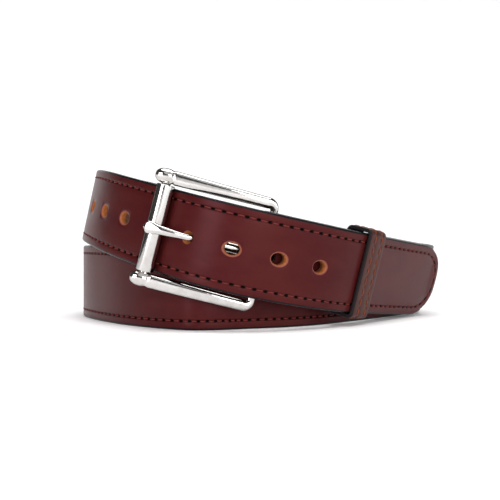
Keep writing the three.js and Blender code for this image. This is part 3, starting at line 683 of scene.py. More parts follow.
def used_hole_bar(place):
    """The used hole: a bar along the tongue where it passes through the strap, with room to swing."""
    line = tongue_line()
    run = np.concatenate([[0], np.cumsum(np.linalg.norm(np.diff(line, axis=0), axis=1))])
    run /= run[-1]
    best = run[int(np.argmin(np.linalg.norm(line - tier_point(place, STRAP_THICKNESS / 2), axis=1)))]

    def at(share):
        return np.array([np.interp(share, run, line[:, k]) for k in range(3)])

    def heading(share):
        along = at(share + 0.02) - at(share - 0.02)
        return along / np.linalg.norm(along)

    room = (HOLE_WIDTH / 2 + 0.3, TONGUE_THICKNESS / 2 + 1.1)
    rings = []
    for i in range(-5, 6):
        share = best + 0.04 * i
        direction = heading(best) + heading(share)
        out = np.array([direction[1], -direction[0], 0.0])
        out *= -math.copysign(1.0, out[1]) / np.linalg.norm(out)
        rings.append(section(at(share) + out * 0.35, out, UP, *room))
    points, faces = loft(rings)
    return flatten(buckle_space(points), (place, STRAP_MIDDLE, STRAP_THICKNESS / 2)), faces


def tongue_slot_bar():
    middle = HEEL - FOLD_LENGTH / 2
    points = pill(FOLD_LENGTH + 10, TONGUE_SLOT)
    return bar_through(middle, STRAP_MIDDLE, [(-2, points), (5, points)])


def seam_coordinates(points):
    """(stitch count, distance from the edge, depth) of flat strap points, for the leather's material."""
    s, t, n = points.T
    edge = np.minimum(t, STRAP_WIDTH - t)
    count = (s - (TIP - TIP_LENGTH)) / STITCH_PITCH
    near_tip = np.nonzero(s > TIP - TIP_LENGTH)[0]
    rows = OUTLINE[OUTLINE[:, 0] > TIP - TIP_LENGTH - 2]
    folded_t = np.minimum(t, STRAP_WIDTH - t)
    for i in near_tip:
        offset_s = s[i] - rows[:, 0]
        offset_t = folded_t[i] - rows[:, 1]
        away = np.hypot(offset_s, offset_t)
        inner = offset_s * rows[:, 2] + offset_t * rows[:, 3]
        beside = np.abs(offset_s * rows[:, 3] - offset_t * rows[:, 2])
        score = np.where(inner > -0.5, beside + 0.02 * away, 1e9)
        best = int(np.argmin(score))
        edge[i] = max(0.0, inner[best])
        side = offset_s[best] * rows[best, 3] - offset_t[best] * rows[best, 2]
        count[i] = rows[best, 4] + side / STITCH_PITCH
    return np.stack([count, edge, n], 1)


def bend_piece(made):
    """Keeps a flat strap piece's coordinates for its material, and bends it along the path."""
    flat = coordinates(made.data)
    set_vectors(made.data, "seam", seam_coordinates(flat))
    set_vectors(made.data, "strap", flat)
    set_coordinates(made.data, bend(flat))


def flat_object(name, parts, material, scale=1.0):
    vertices, faces = joined(parts)
    return make_object(name, vertices * scale, faces, material)


# ---------------------------------------------------------------- materials


class Shader:
    """A material's node tree, built with short calls."""

    def __init__(self, name):
        self.material = bpy.data.materials.new(name)
        self.material.use_nodes = True
        self.tree = self.material.node_tree
        self.surface = self.tree.nodes["Principled BSDF"]

    def node(self, kind, **settings):
        made = self.tree.nodes.new(kind)
        for key, value in settings.items():
            setattr(made, key, value)
        return made

    def put(self, value, socket):
        if isinstance(value, bpy.types.NodeSocket):
            self.tree.links.new(value, socket)
        else:
            socket.default_value = value

    def math(self, operation, *values, clamp=False):
        made = self.node("ShaderNodeMath", operation=operation, use_clamp=clamp)
        for i, value in enumerate(values):
            self.put(value, made.inputs[i])
        return made.outputs[0]

    def step(self, value, low, high, bottom=0.0, top=1.0):
        """A smooth step from bottom to top as the value goes from low to high."""
        made = self.node("ShaderNodeMapRange", interpolation_type="SMOOTHSTEP")
        for socket, number in zip(made.inputs, (value, low, high, bottom, top)):
            self.put(number, socket)
        return made.outputs[0]

    def mix(self, factor, first, second, blend="MIX"):
        made = self.node("ShaderNodeMix", data_type="RGBA", blend_type=blend)
        self.put(factor, made.inputs[0])
        for socket, colour in ((made.inputs[6], first), (made.inputs[7], second)):
            self.put(colour if isinstance(colour, bpy.types.NodeSocket) else (*colour, 1.0), socket)
        return made.outputs[2]

    def attribute(self, name):
        return self.node("ShaderNodeAttribute", attribute_name=name).outputs["Vector"]

    def split(self, vector):
        made = self.node("ShaderNodeSeparateXYZ")
        self.put(vector, made.inputs[0])
        return made.outputs

    def scaled(self, vector, scale):
        made = self.node("ShaderNodeMapping")
        self.put(vector, made.inputs["Vector"])
        made.inputs["Scale"].default_value = scale
        return made.outputs[0]

    def place(self):
        return self.node("ShaderNodeTexCoord").outputs["Object"]

    def noise(self, vector, scale, detail=3.0, roughness=0.55):
        made = self.node("ShaderNodeTexNoise")
        self.put(vector, made.inputs["Vector"])
        made.inputs["Scale"].default_value = scale
        made.inputs["Detail"].default_value = detail
        made.inputs["Roughness"].default_value = roughness
        return made.outputs["Fac"]

    def cells(self, vector, scale, feature="F1"):
        made = self.node("ShaderNodeTexVoronoi", feature=feature)
        self.put(vector, made.inputs["Vector"])
        made.inputs["Scale"].default_value = scale
        return made.outputs["Distance"]

    def bump(self, height, strength, distance, normal=None):
        made = self.node("ShaderNodeBump")
        made.inputs["Strength"].default_value = strength
        made.inputs["Distance"].default_value = distance
        self.put(height, made.inputs["Height"])
        if normal is not None:
            self.put(normal, made.inputs["Normal"])
        return made.outputs[0]

    def set(self, **sockets):
        for name, value in sockets.items():
            socket = self.surface.inputs[name.replace("_", " ")]
            if isinstance(value, tuple) and len(value) == 3:
                value = (*value, 1.0)
            self.put(value, socket)
        return self.material


BLACK_EDGE = (0.006, 0.0065, 0.0075)
RAW_LEATHER = (0.42, 0.155, 0.045)


def grain(shader, vector):
    """The height of fine leather grain with pores; the vector is in mm."""
    pores = shader.cells(vector, 2.3)
    creases = shader.noise(vector, 1.1, 5.0, 0.6)
    return shader.math("ADD", shader.math("MULTIPLY", pores, 0.35), shader.math("MULTIPLY", creases, 0.65))


def hole_masks(shader, strap):
    """Masks of the sizing holes' raw walls and of the ring round each hole's mouth that carries a painted
    highlight.
    """
    s, t, n = strap
    first = hole_places()[0]
    along = shader.math("SUBTRACT", s, first - HOLE_PITCH / 2)
    along = shader.math("SUBTRACT", shader.math("MODULO", along, HOLE_PITCH), HOLE_PITCH / 2)
    across = shader.math("SUBTRACT", t, STRAP_MIDDLE)
    x = shader.math("DIVIDE", along, HOLE_LENGTH / 2)
    y = shader.math("DIVIDE", across, HOLE_WIDTH / 2)
    size = shader.math("ADD", shader.math("POWER", x, 2.0), shader.math("POWER", y, 2.0))
    here = shader.math("GREATER_THAN", s, first - HOLE_PITCH / 2)
    here = shader.math("MULTIPLY", here, shader.math("LESS_THAN", s, hole_places()[-1] + HOLE_PITCH / 2))
    near = shader.math("MULTIPLY", here, shader.step(size, 1.25, 2.3, 1.0, 0.0))
    deep = shader.step(n, 0.28, 0.42)
    # The ring at each hole's mouth, where a highlight is painted.
    rim_highlight = shader.math("MULTIPLY", near, shader.step(n, 0.01, 0.1))
    return shader.math("MULTIPLY", near, deep), rim_highlight


def burgundy_leather(name, base, light, dark):
    """Glazed leather with burnished black edges, punched holes and stitch marks, with a painted highlight
    round each punched hole and the stitch holes painted black as painted shade.
    """
    shader = Shader(name)
    seam = shader.split(shader.attribute("seam"))
    strap_vector = shader.attribute("strap")
    strap = shader.split(strap_vector)
    cloud = shader.noise(shader.scaled(strap_vector, (0.03, 0.08, 0.08)), 1.0, 4.0)
    streak = shader.noise(shader.scaled(strap_vector, (0.12, 0.9, 0.9)), 1.0, 3.0)
    colour = shader.mix(shader.step(cloud, 0.35, 0.7), base, light)
    colour = shader.mix(shader.step(streak, 0.4, 0.85, 0.0, 0.10), colour, dark)
    fine = shader.noise(strap_vector, 3.0, 4.0)
    colour = shader.mix(shader.step(fine, 0.5, 0.75, 0.0, 0.22), colour, dark)
    raw, rim_highlight = hole_masks(shader, strap)
    # Painted highlight: a lighter ring round the mouth of each sizing hole.
    colour = shader.mix(shader.math("MULTIPLY", rim_highlight, 0.6), colour, (0.26, 0.095, 0.075))
    raw_tone = shader.mix(shader.noise(strap_vector, 1.4, 4.0), RAW_LEATHER, (0.18, 0.05, 0.015))
    back = shader.math("MULTIPLY", shader.step(strap[2], 1.2, 1.28), shader.step(seam[1], 1.2, 1.6))
    colour = shader.mix(back, colour, (0.11, 0.045, 0.025))
    colour = shader.mix(raw, colour, raw_tone)
    from_seam = shader.math("ABSOLUTE", shader.math("SUBTRACT", seam[1], STITCH_INSET))
    # Darker along the stitch groove, most in its middle.
    pressed = shader.step(from_seam, 0.2, 1.1, 0.12, 0.0)
    stitched_part = shader.math("GREATER_THAN", strap[0], HEEL + SKIVE_END)
    pressed = shader.math("MULTIPLY", pressed, stitched_part)
    colour = shader.mix(pressed, colour, dark)
    # Painted shade: the stitch holes are painted near-black.
    off_hole = shader.math("SUBTRACT", seam[0], shader.math("ROUND", seam[0]))
    hole_x = shader.math("MULTIPLY", off_hole, STITCH_PITCH / 1.05)
    hole_y = shader.math("DIVIDE", from_seam, 0.82)
    hole_size = shader.math("ADD", shader.math("POWER", hole_x, 2.0), shader.math("POWER", hole_y, 2.0))
    needle_hole_shade = shader.math("MULTIPLY", shader.step(hole_size, 0.6, 1.25, 1.0, 0.0), stitched_part)
    colour = shader.mix(needle_hole_shade, colour, (0.004, 0.002, 0.002))
    ragged = shader.noise(shader.scaled(strap_vector, (0.8, 0.8, 0.8)), 1.0, 3.0)
    ragged = shader.math("MULTIPLY", ragged, 0.7)
    edge = shader.step(shader.math("SUBTRACT", seam[1], ragged), 0.35, 0.85, 1.0, 0.0)
    colour = shader.mix(edge, colour, BLACK_EDGE)
    roughness = shader.step(cloud, 0.3, 0.75, 0.31, 0.35)
    roughness = shader.math("ADD", roughness, shader.math("MULTIPLY", raw, 0.4), clamp=True)
    roughness = shader.math("SUBTRACT", roughness, shader.math("MULTIPLY", edge, 0.06), clamp=True)
    normal = shader.bump(grain(shader, strap_vector), 0.3, 0.00014)
    wave = shader.noise(shader.scaled(strap_vector, (0.05, 0.12, 0.12)), 1.0, 2.0)
    normal = shader.bump(wave, 0.12, 0.0012, normal)
    return shader.set(Base_Color=colour, Roughness=roughness, Normal=normal, Specular_IOR_Level=0.1,
                      Specular_Tint=(1.0, 0.66, 0.72))


def lining_leather():
    shader = Shader("lining_leather_dull")
    strap_vector = shader.attribute("strap")
    strap = shader.split(strap_vector)
    seam = shader.split(shader.attribute("seam"))
    cloud = shader.noise(shader.scaled(strap_vector, (0.1, 0.2, 0.2)), 1.0, 4.0)
    colour = shader.mix(cloud, (0.050, 0.027, 0.019), (0.090, 0.050, 0.034))
    fibres = shader.noise(shader.scaled(strap_vector, (2.0, 5.0, 5.0)), 1.0, 4.0)
    colour = shader.mix(shader.step(fibres, 0.5, 0.7, 0.0, 0.3), colour, (0.13, 0.075, 0.05))
    raw, _ = hole_masks(shader, strap)
    colour = shader.mix(raw, colour, (0.14, 0.05, 0.02))
    edge = shader.step(seam[1], 0.5, 1.2, 1.0, 0.0)
    colour = shader.mix(edge, colour, BLACK_EDGE)
    normal = shader.bump(grain(shader, strap_vector), 0.4, 0.0002)
    return shader.set(Base_Color=colour, Roughness=shader.step(fibres, 0.3, 0.8, 0.55, 0.75), Normal=normal)


def keeper_leather():
    shader = Shader("keeper_leather_glazed")
    band_vector = shader.attribute("band")
    band = shader.split(band_vector)
    cloud = shader.noise(shader.scaled(band_vector, (0.1, 0.1, 0.1)), 1.0, 4.0)
    colour = shader.mix(shader.step(cloud, 0.3, 0.7), (0.036, 0.0090, 0.0070), (0.056, 0.0155, 0.0110))
    fine = shader.noise(band_vector, 2.2, 5.0)
    colour = shader.mix(shader.step(fine, 0.45, 0.75, 0.0, 0.4), colour, (0.034, 0.012, 0.010))
    edge = shader.step(band[1], 0.35, 0.95, 1.0, 0.0)
    colour = shader.mix(edge, colour, BLACK_EDGE)
    normal = shader.bump(grain(shader, band_vector), 0.35, 0.00018)
    return shader.set(Base_Color=colour, Roughness=shader.step(cloud, 0.3, 0.8, 0.4, 0.52), Normal=normal,
                      Specular_IOR_Level=0.16, Specular_Tint=(1.0, 0.75, 0.72))


def thread(name, colour, dark):
    """Waxed thread with its twist."""
    shader = Shader(name)
    run = shader.attribute("run")
    twist = shader.node("ShaderNodeTexWave", wave_type="BANDS", bands_direction="DIAGONAL")
    shader.put(run, twist.inputs["Vector"])
    twist.inputs["Scale"].default_value = 0.9
    twist.inputs["Distortion"].default_value = 0.6
    height = twist.outputs["Fac"]
    # Painted shade: the thread is darker in the twist's grooves.
    tone = shader.mix(shader.step(height, 0.1, 0.6), dark, colour)
    tone = shader.mix(shader.step(shader.noise(run, 0.8, 2.0), 0.4, 0.7, 0.0, 0.4), tone, dark)
    normal = shader.bump(height, 0.5, 0.0001)
    return shader.set(Base_Color=tone, Roughness=shader.step(height, 0.0, 1.0, 0.62, 0.5), Normal=normal,
                      Specular_IOR_Level=0.15)


def polished_nickel(name, rough):
    """Nickel plate with fine polishing marks and faint casting waves."""
    shader = Shader(name)
    place = shader.place()
    wave = shader.noise(place, 120.0, 2.0)
    marks = shader.noise(shader.scaled(place, (900.0, 900.0, 5000.0)), 1.0, 3.0)
    smudge = shader.noise(place, 260.0, 4.0)
    colour = shader.mix(shader.step(smudge, 0.35, 0.75), (0.58, 0.57, 0.555), (0.50, 0.487, 0.465))
    roughness = shader.math("ADD", shader.step(smudge, 0.4, 0.8, rough, rough + 0.07),
                            shader.math("MULTIPLY", marks, 0.03))
    normal = shader.bump(marks, 0.02, 0.00003)
    normal = shader.bump(wave, 0.12, 0.0003, normal)
    return shader.set(Base_Color=colour, Metallic=1.0, Roughness=roughness, Normal=normal,
                      Specular_Tint=(0.03, 0.03, 0.035))


def zip_tape():
    """Woven polyester: a herringbone of small ribs."""
    shader = Shader("zip_tape_woven")
    strap_vector = shader.attribute("strap")
    waves = []
    for scale in ((2.2, 1.1, 0.0), (2.2, -1.1, 0.0)):
        rib = shader.node("ShaderNodeTexWave", wave_type="BANDS", bands_direction="DIAGONAL")
        shader.put(shader.scaled(strap_vector, scale), rib.inputs["Vector"])
        rib.inputs["Scale"].default_value = 0.6
        waves.append(rib.outputs["Fac"])
    weave = shader.math("MAXIMUM", *waves)
    # Painted shade: the tape is darker in the hollows between its ribs.
    colour = shader.mix(weave, (0.006, 0.006, 0.007), (0.028, 0.027, 0.028))
    normal = shader.bump(weave, 0.7, 0.00012)
    return shader.set(Base_Color=colour, Roughness=shader.step(weave, 0.0, 1.0, 0.95, 0.8), Normal=normal,
                      Sheen_Weight=0.2)


def zip_nylon():
    shader = Shader("zip_coil_nylon")
    place = shader.place()
    tone = shader.noise(place, 700.0, 3.0)
    colour = shader.mix(tone, (0.012, 0.012, 0.013), (0.028, 0.027, 0.028))
    normal = shader.bump(tone, 0.1, 0.00005)
    return shader.set(Base_Color=colour, Roughness=shader.step(tone, 0.2, 0.8, 0.32, 0.45), Normal=normal)


def studio_white():
    """The floor: pale card with a barely visible tooth."""
    shader = Shader("studio_floor")
    tooth = shader.noise(shader.place(), 300.0, 3.0)
    colour = shader.mix(tooth, (0.93, 0.93, 0.93), (0.96, 0.96, 0.96))
    return shader.set(Base_Color=colour, Roughness=0.85, Specular_IOR_Level=0.1,
                      Emission_Color=(1.0, 1.0, 1.0), Emission_Strength=0.08)


LEATHER = burgundy_leather("burgundy_leather_glazed", (0.046, 0.0054, 0.0060), (0.058, 0.0088, 0.0078),
                           (0.030, 0.0036, 0.0040))
LINING = lining_leather()
KEEPER = keeper_leather()
THREAD = thread("thread_reddish_brown", (0.15, 0.024, 0.020), (0.085, 0.013, 0.011))
KEEPER_THREAD = thread("thread_orange_brown", (0.25, 0.058, 0.020), (0.10, 0.024, 0.011))
NICKEL = polished_nickel("polished_nickel", 0.07)
SATIN = polished_nickel("satin_nickel", 0.2)
TAPE = zip_tape()
NYLON = zip_nylon()

# ---------------------------------------------------------------- strap pieces


def make_strap():
    rings = layer_rings(OUTLINE, outer_face, outer_back, 6)
    outer = flat_object("strap_outer_leather", [loft(rings)], LEATHER)
    bars = hole_bars() + post_bars() + [pocket_bar(), tongue_slot_bar()]
    carve(outer, flat_object("outer_cutter", bars, None))
    bend_piece(outer)
    finish_surface(outer, 32)
    place_piece(outer, "belt", "burgundy_leather", "outer_strap")

    rows = OUTLINE[OUTLINE[:, 0] > HEEL + LINING_START]
    rings = layer_rings(rows, lining_face, lining_back, 2)
    lining = flat_object("strap_lining_leather", [loft(rings)], LINING)
    carve(lining, flat_object("lining_cutter", hole_bars() + post_bars()[:2] + [slit_bar()], None))
    bend_piece(lining)
    finish_surface(lining, 32)
    place_piece(lining, "belt", "lining_leather", "lining_strap")


def stitch_tube(start, end, sideways, surface, sign, radius, stations=7, sides=6):
    """One stitch between two needle holes, in flat strap coordinates.

    The thread dives below the surface at both ends, and rests just under it between them.
    """
    start = np.array(start)
    end = np.array(end)
    along = (end - start) / np.linalg.norm(end - start)
    across = np.array([-along[1], along[0]])
    rings = []
    for i in range(stations):
        share = i / (stations - 1)
        spot = start + (end - start) * (0.19 + 0.62 * share)
        bow = 1 - (2 * share - 1) ** 4
        spot = spot + across * sideways * math.sin(math.pi * share)
        depth = surface + sign * (THREAD_DIVE - (THREAD_DIVE - THREAD_REST) * bow)
        size = radius * (0.72 + 0.28 * bow)
        ring = []
        for j in range(sides):
            angle = 2 * math.pi * j / sides
            offset = across * size * math.cos(angle)
            ring.append((spot[0] + offset[0], spot[1] + offset[1], depth + size * 0.8 * math.sin(angle)))
        rings.append(ring)
    return loft(rings)


def seam_line():
    """The stitch line along one edge and round to the middle of the tip, by stitch count."""
    count = OUTLINE[:, 4]
    s = OUTLINE[:, 0] + OUTLINE[:, 2] * STITCH_INSET
    t = OUTLINE[:, 1] + OUTLINE[:, 3] * STITCH_INSET
    return count, s, t


def make_stitching():
    count, s, t = seam_line()
    draw = random.Random(11)
    first = math.ceil((HEEL + SKIVE_END - (TIP - TIP_LENGTH)) / STITCH_PITCH)
    parts = []
    for surface, sign in ((0.0, 1), (STRAP_THICKNESS, -1)):
        for q in range(first, int(TIP_STITCHES)):
            for mirrored in (False, True):
                ends = []
                for mark in (q, q + 1):
                    spot_s = float(np.interp(mark, count, s))
                    spot_t = float(np.interp(mark, count, t))
                    ends.append((spot_s, STRAP_WIDTH - spot_t if mirrored else spot_t))
                sideways = draw.uniform(-0.14, 0.14) + (0.08 if mirrored else -0.08)
                radius = THREAD_RADIUS * draw.uniform(0.92, 1.06)
                parts.append(stitch_tube(*ends, sideways, surface, sign, radius))
    made = flat_object("strap_stitching", parts, THREAD)
    flat = coordinates(made.data)
    set_vectors(made.data, "run", flat)
    set_coordinates(made.data, bend(flat))
    finish_surface(made, 80)
    place_piece(made, "belt", None)


# ---------------------------------------------------------------- buckle pieces

UP = np.array([0.0, 0.0, 1.0])
HEEL_POINT = tier_point(HEEL, BUCKLE_END_OFFSET + FOLD_RADIUS)
ROLLER_POINT = tier_point(ROLLER_STATION, -(ROLLER_RADIUS + RUNNING_GAP))
BUCKLE_LENGTH = float(np.linalg.norm(ROLLER_POINT - HEEL_POINT))
BUCKLE_ALONG = (ROLLER_POINT - HEEL_POINT) / BUCKLE_LENGTH
BUCKLE_OUT = np.array([-BUCKLE_ALONG[1], BUCKLE_ALONG[0], 0.0])


def section(point, across, outwards, half_wide, half_deep, sides=24, power=2.0):
    """A rounded bar's section round a point: power 2 is an oval, and more is squarer."""
    ring = []
    for i in range(sides):
        angle = 2 * math.pi * i / sides
        c, s = math.cos(angle), math.sin(angle)
        x = math.copysign(abs(c) ** (2 / power), c)
        y = math.copysign(abs(s) ** (2 / power), s)
        ring.append(point + outwards * half_wide * x + across * half_deep * y)
    return ring


def frame_stations():
    """(along, high, outward angle, width, depth) round the frame's middle line."""
    side = (FRAME_INSIDE + FRAME_BAR) / 2
    roller_corner = FRAME_BAR / 2 + 0.2
    heel_corner = 2.8
    bar = 2 * BAR_RADIUS
    end = BUCKLE_LENGTH
    stations = []

    def corner(along, high, radius, start, wide, deep):
        steps = 10
        for i in range(steps + 1):
            share = i / steps
            angle = start + math.pi / 2 * share
            stations.append((along + radius * math.cos(angle), high + radius * math.sin(angle), angle,
                             wide[0] + (wide[1] - wide[0]) * share, deep[0] + (deep[1] - deep[0]) * share))

    def run(start, finish, high, angle, wide):
        steps = 12
        for i in range(1, steps):
            share = i / steps
            stations.append((start + (finish - start) * share, high, angle,
                             wide[0] + (wide[1] - wide[0]) * share, FRAME_DEPTH))

    thick, thin = FRAME_BAR, FRAME_BAR_HEEL
    roller_end = end - roller_corner
    corner(roller_end, side - roller_corner, roller_corner, 0, (bar, thick), (bar, FRAME_DEPTH))
    run(roller_end, heel_corner, side, math.pi / 2, (thick, thin))
    corner(heel_corner, side - heel_corner, heel_corner, math.pi / 2, (thin, bar), (FRAME_DEPTH, bar))
    corner(heel_corner, heel_corner - side, heel_corner, math.pi, (bar, thin), (bar, FRAME_DEPTH))
    run(heel_corner, roller_end, -side, 1.5 * math.pi, (thin, thick))
    corner(roller_end, roller_corner - side, roller_corner, 1.5 * math.pi, (thick, bar), (FRAME_DEPTH, bar))
    return stations, side


def make_buckle_frame():
    stations, side = frame_stations()
    rings = []
    for along, high, angle, wide, deep in stations:
        arch = FRAME_ARCH * math.sin(math.pi * min(1.0, max(0.0, along / BUCKLE_LENGTH)))
        point = HEEL_POINT + BUCKLE_ALONG * along + BUCKLE_OUT * arch + UP * high
        outwards = BUCKLE_ALONG * math.cos(angle) + UP * math.sin(angle)
        rings.append(section(point, BUCKLE_OUT, outwards, wide / 2, deep / 2, power=3.2))
    parts = [loft(rings, closed=True)]
    for sign in (1, -1):
        centre = ROLLER_POINT + BUCKLE_ALONG * EAR_SHIFT + UP * sign * side
        ear = []
        for i in range(1, 16):
            angle = math.pi * i / 16
            size = math.sin(angle) ** 0.8
            point = centre + BUCKLE_ALONG * EAR_LENGTH / 2 * math.cos(angle)
            ear.append(section(point, BUCKLE_OUT, UP, EAR_WIDTH / 2 * size, EAR_DEPTH / 2 * size))
        parts.append(loft(ear))
    vertices, faces = joined(parts)
    made = make_object("buckle_frame_polished", buckle_space(vertices), faces, NICKEL)
    remeshed(made, FRAME_VOXEL, 7)
    place_piece(made, "belt", "nickel", "buckle_frame")


def turned(profile, sides=48):
    """A solid of revolution round z from a (radius, height) profile."""
    rings = []
    for r, h in profile:
        rings.append([(r * math.cos(2 * math.pi * i / sides), r * math.sin(2 * math.pi * i / sides), h)
                      for i in range(sides)])
    return rings


def make_roller():
    """A rolled sheet tube with rounded lips, round the frame's front bar."""
    half = ROLLER_LENGTH / 2
    inner = ROLLER_RADIUS - ROLLER_WALL
    lip = 0.45
    profile = [(inner, -half + 0.2), (inner + 0.2, -half)]
    for i in range(6):
        angle = math.pi / 2 * i / 5
        profile.append((ROLLER_RADIUS - lip + lip * math.sin(angle), -half + lip - lip * math.cos(angle)))
    profile += [(r, -h) for r, h in reversed(profile)]
    rings = turned(profile, 64)
    vertices, faces = loft(rings, closed=True)
    angles = np.arctan2(vertices[:, 1], vertices[:, 0])
    seam = np.exp(-((angles - 1.2) / 0.05) ** 2)
    radial = vertices[:, :2] / np.linalg.norm(vertices[:, :2], axis=1)[:, None]
    outer = np.linalg.norm(vertices[:, :2], axis=1) > inner + 0.4
    vertices[:, :2] -= radial * (0.18 * seam * outer)[:, None]
    made = make_object("buckle_roller_polished", buckle_space(vertices + ROLLER_POINT), faces, NICKEL)
    finish_surface(made, 50)
    place_piece(made, "roller", "nickel", "buckle_roller")


def spline_through(points, steps):
    """A centripetal Catmull-Rom curve through points, with even steps between each two."""
    points = [np.asarray(point, float) for point in points]
    ends = [2 * points[0] - points[1], *points, 2 * points[-1] - points[-2]]
    curve = []
    for i in range(len(points) - 1):
        p0, p1, p2, p3 = ends[i:i + 4]
        d0, d1, d2 = [math.sqrt(np.linalg.norm(b - a)) for a, b in ((p0, p1), (p1, p2), (p2, p3))]
        t1 = ((p1 - p0) / d0 - (p2 - p0) / (d0 + d1) + (p2 - p1) / d1) * d1
        t2 = ((p2 - p1) / d1 - (p3 - p1) / (d1 + d2) + (p3 - p2) / d2) * d1
        for k in range(steps + (i == len(points) - 2)):
            x = k / steps
            cubic = (2 * p1 - 2 * p2 + t1 + t2) * x ** 3 + (3 * p2 - 3 * p1 - 2 * t1 - t2) * x ** 2
            curve.append(cubic + t1 * x + p1)
    return np.array(curve)


def tongue_line():
    eye_radius = BAR_RADIUS + RUNNING_GAP + TONGUE_THICKNESS / 2
    over_roller = ROLLER_RADIUS + RUNNING_GAP + TONGUE_THICKNESS / 2
    hole = tier_point(hole_places()[USED_HOLE], 0.6)

    def off(base, along, out):
        return base + BUCKLE_ALONG * along + BUCKLE_OUT * out

    return spline_through([
        off(HEEL_POINT, eye_radius * 0.85, 0.3), off(HEEL_POINT, 16, 1.2), off(HEEL_POINT, 24, 2.4),
        off(hole, -1.5, 0.2), off(hole, 6.5, 1.4), off(ROLLER_POINT, 0.5, over_roller + 0.1),
        off(ROLLER_POINT, 4.5, over_roller - 0.9)], 10)


def make_tongue():
    line = tongue_line()
    last = len(line) - 1
    rings = []
    for i, point in enumerate(line):
        share = i / last
        tangent = line[min(last, i + 1)] - line[max(0, i - 1)]
        out = np.array([tangent[1], -tangent[0], 0.0])
        out /= np.linalg.norm(out)
        if out[1] > 0:
            out = -out
        waist = 1 - TONGUE_WAIST * float(smooth((share - 0.3) / 0.2) * (1 - smooth((share - 0.56) / 0.3)))
        end = 1 - 0.5 * float(smooth((share - 0.95) / 0.05))
        flat = float(smooth((share - 0.78) / 0.06) * (1 - smooth((share - 0.93) / 0.05)))
        wide = (TONGUE_WIDTH / 2 + 0.5 * flat) * waist * end
        deep = TONGUE_THICKNESS / 2 * (1 - 0.12 * flat) * end
        rings.append(section(point, out, UP, wide, deep, power=2.1 + 0.5 * flat))
    tip_direction = line[-1] - line[-2]
    tip_direction /= np.linalg.norm(tip_direction)
    rings.append([line[-1] + tip_direction * 0.45 + (np.array(p) - line[-1]) * 0.45 for p in rings[-1]])
    outer = BAR_RADIUS + RUNNING_GAP + TONGUE_EYE_WALL
    half = TONGUE_WIDTH / 2
    eye = [(BAR_RADIUS + RUNNING_GAP + 0.12, half - 0.2), (outer - 0.35, half), (outer, half - 0.45)]
    eye_profile = [(r, -h) for r, h in eye] + list(reversed(eye))
    eye_rings = [[np.array(p) + HEEL_POINT for p in ring] for ring in turned(eye_profile, 32)]
    vertices, faces = joined([loft(rings), loft(eye_rings, closed=True)])
    made = make_object("buckle_tongue_polished", buckle_space(vertices), faces, NICKEL)
    remeshed(made, TONGUE_VOXEL, 6)
    place_piece(made, "tongue", "nickel", "buckle_tongue")


# ---------------------------------------------------------------- keeper


def loop_points(width, height, radius, step):
    """Points round a rounded rectangle at even steps, with their distance round it."""
    corners = [(1, 1, 0), (-1, 1, 1), (-1, -1, 2), (1, -1, 3)]
    outline = []
    for sx, sy, quarter in corners:
        for i in range(25):
            angle = math.pi / 2 * (quarter + i / 24)
            outline.append((sx * (width / 2 - radius) + radius * math.cos(angle),
                            sy * (height / 2 - radius) + radius * math.sin(angle)))
    outline.append(outline[0])
    outline = np.array(outline)
    run = np.concatenate([[0], np.cumsum(np.hypot(*np.diff(outline, axis=0).T))])
    count = int(run[-1] / step)
    marks = np.linspace(0, run[-1], count, endpoint=False)
    points = np.stack([np.interp(marks, run, outline[:, 0]), np.interp(marks, run, outline[:, 1])], 1)
    return points, marks, run[-1]


def keeper_loop(offset, step=0.7):
    """The keeper's loop at an offset out from its inner face, with outward normals."""
    depth = BUCKLE_END_OFFSET + STRAP_THICKNESS
    grow = 2 * (KEEPER_PLAY + offset)
    points, marks, length = loop_points(STRAP_WIDTH + grow, depth + grow, 1 + offset, step)
    ahead = np.roll(points, -1, axis=0) - np.roll(points, 1, axis=0)
    normals = np.stack([ahead[:, 1], -ahead[:, 0]], 1) / np.linalg.norm(ahead, axis=1)[:, None]
    return points, normals, marks, length


def keeper_point(place_offset, point):
    """Strap coordinates of a point of the keeper's loop."""
    depth = BUCKLE_END_OFFSET + STRAP_THICKNESS
    return (2 * TURN + KEEPER_STATION + place_offset, STRAP_MIDDLE + point[0], depth / 2 + point[1])


def keeper_place(flat):
    """The keeper bends less than the strap: its frame runs straight between its two edges."""
    middle = 2 * TURN + KEEPER_STATION
    edges = frames([middle - KEEPER_WIDTH / 2, middle + KEEPER_WIDTH / 2])
    share = ((flat[:, 0] - middle) / KEEPER_WIDTH + 0.5)[:, None, None]
    at = edges[0][None] * (1 - share) + edges[1][None] * share
    spot = at[:, 0] + at[:, 2] * flat[:, 1][:, None] + at[:, 3] * flat[:, 2][:, None]
    return spot * MM


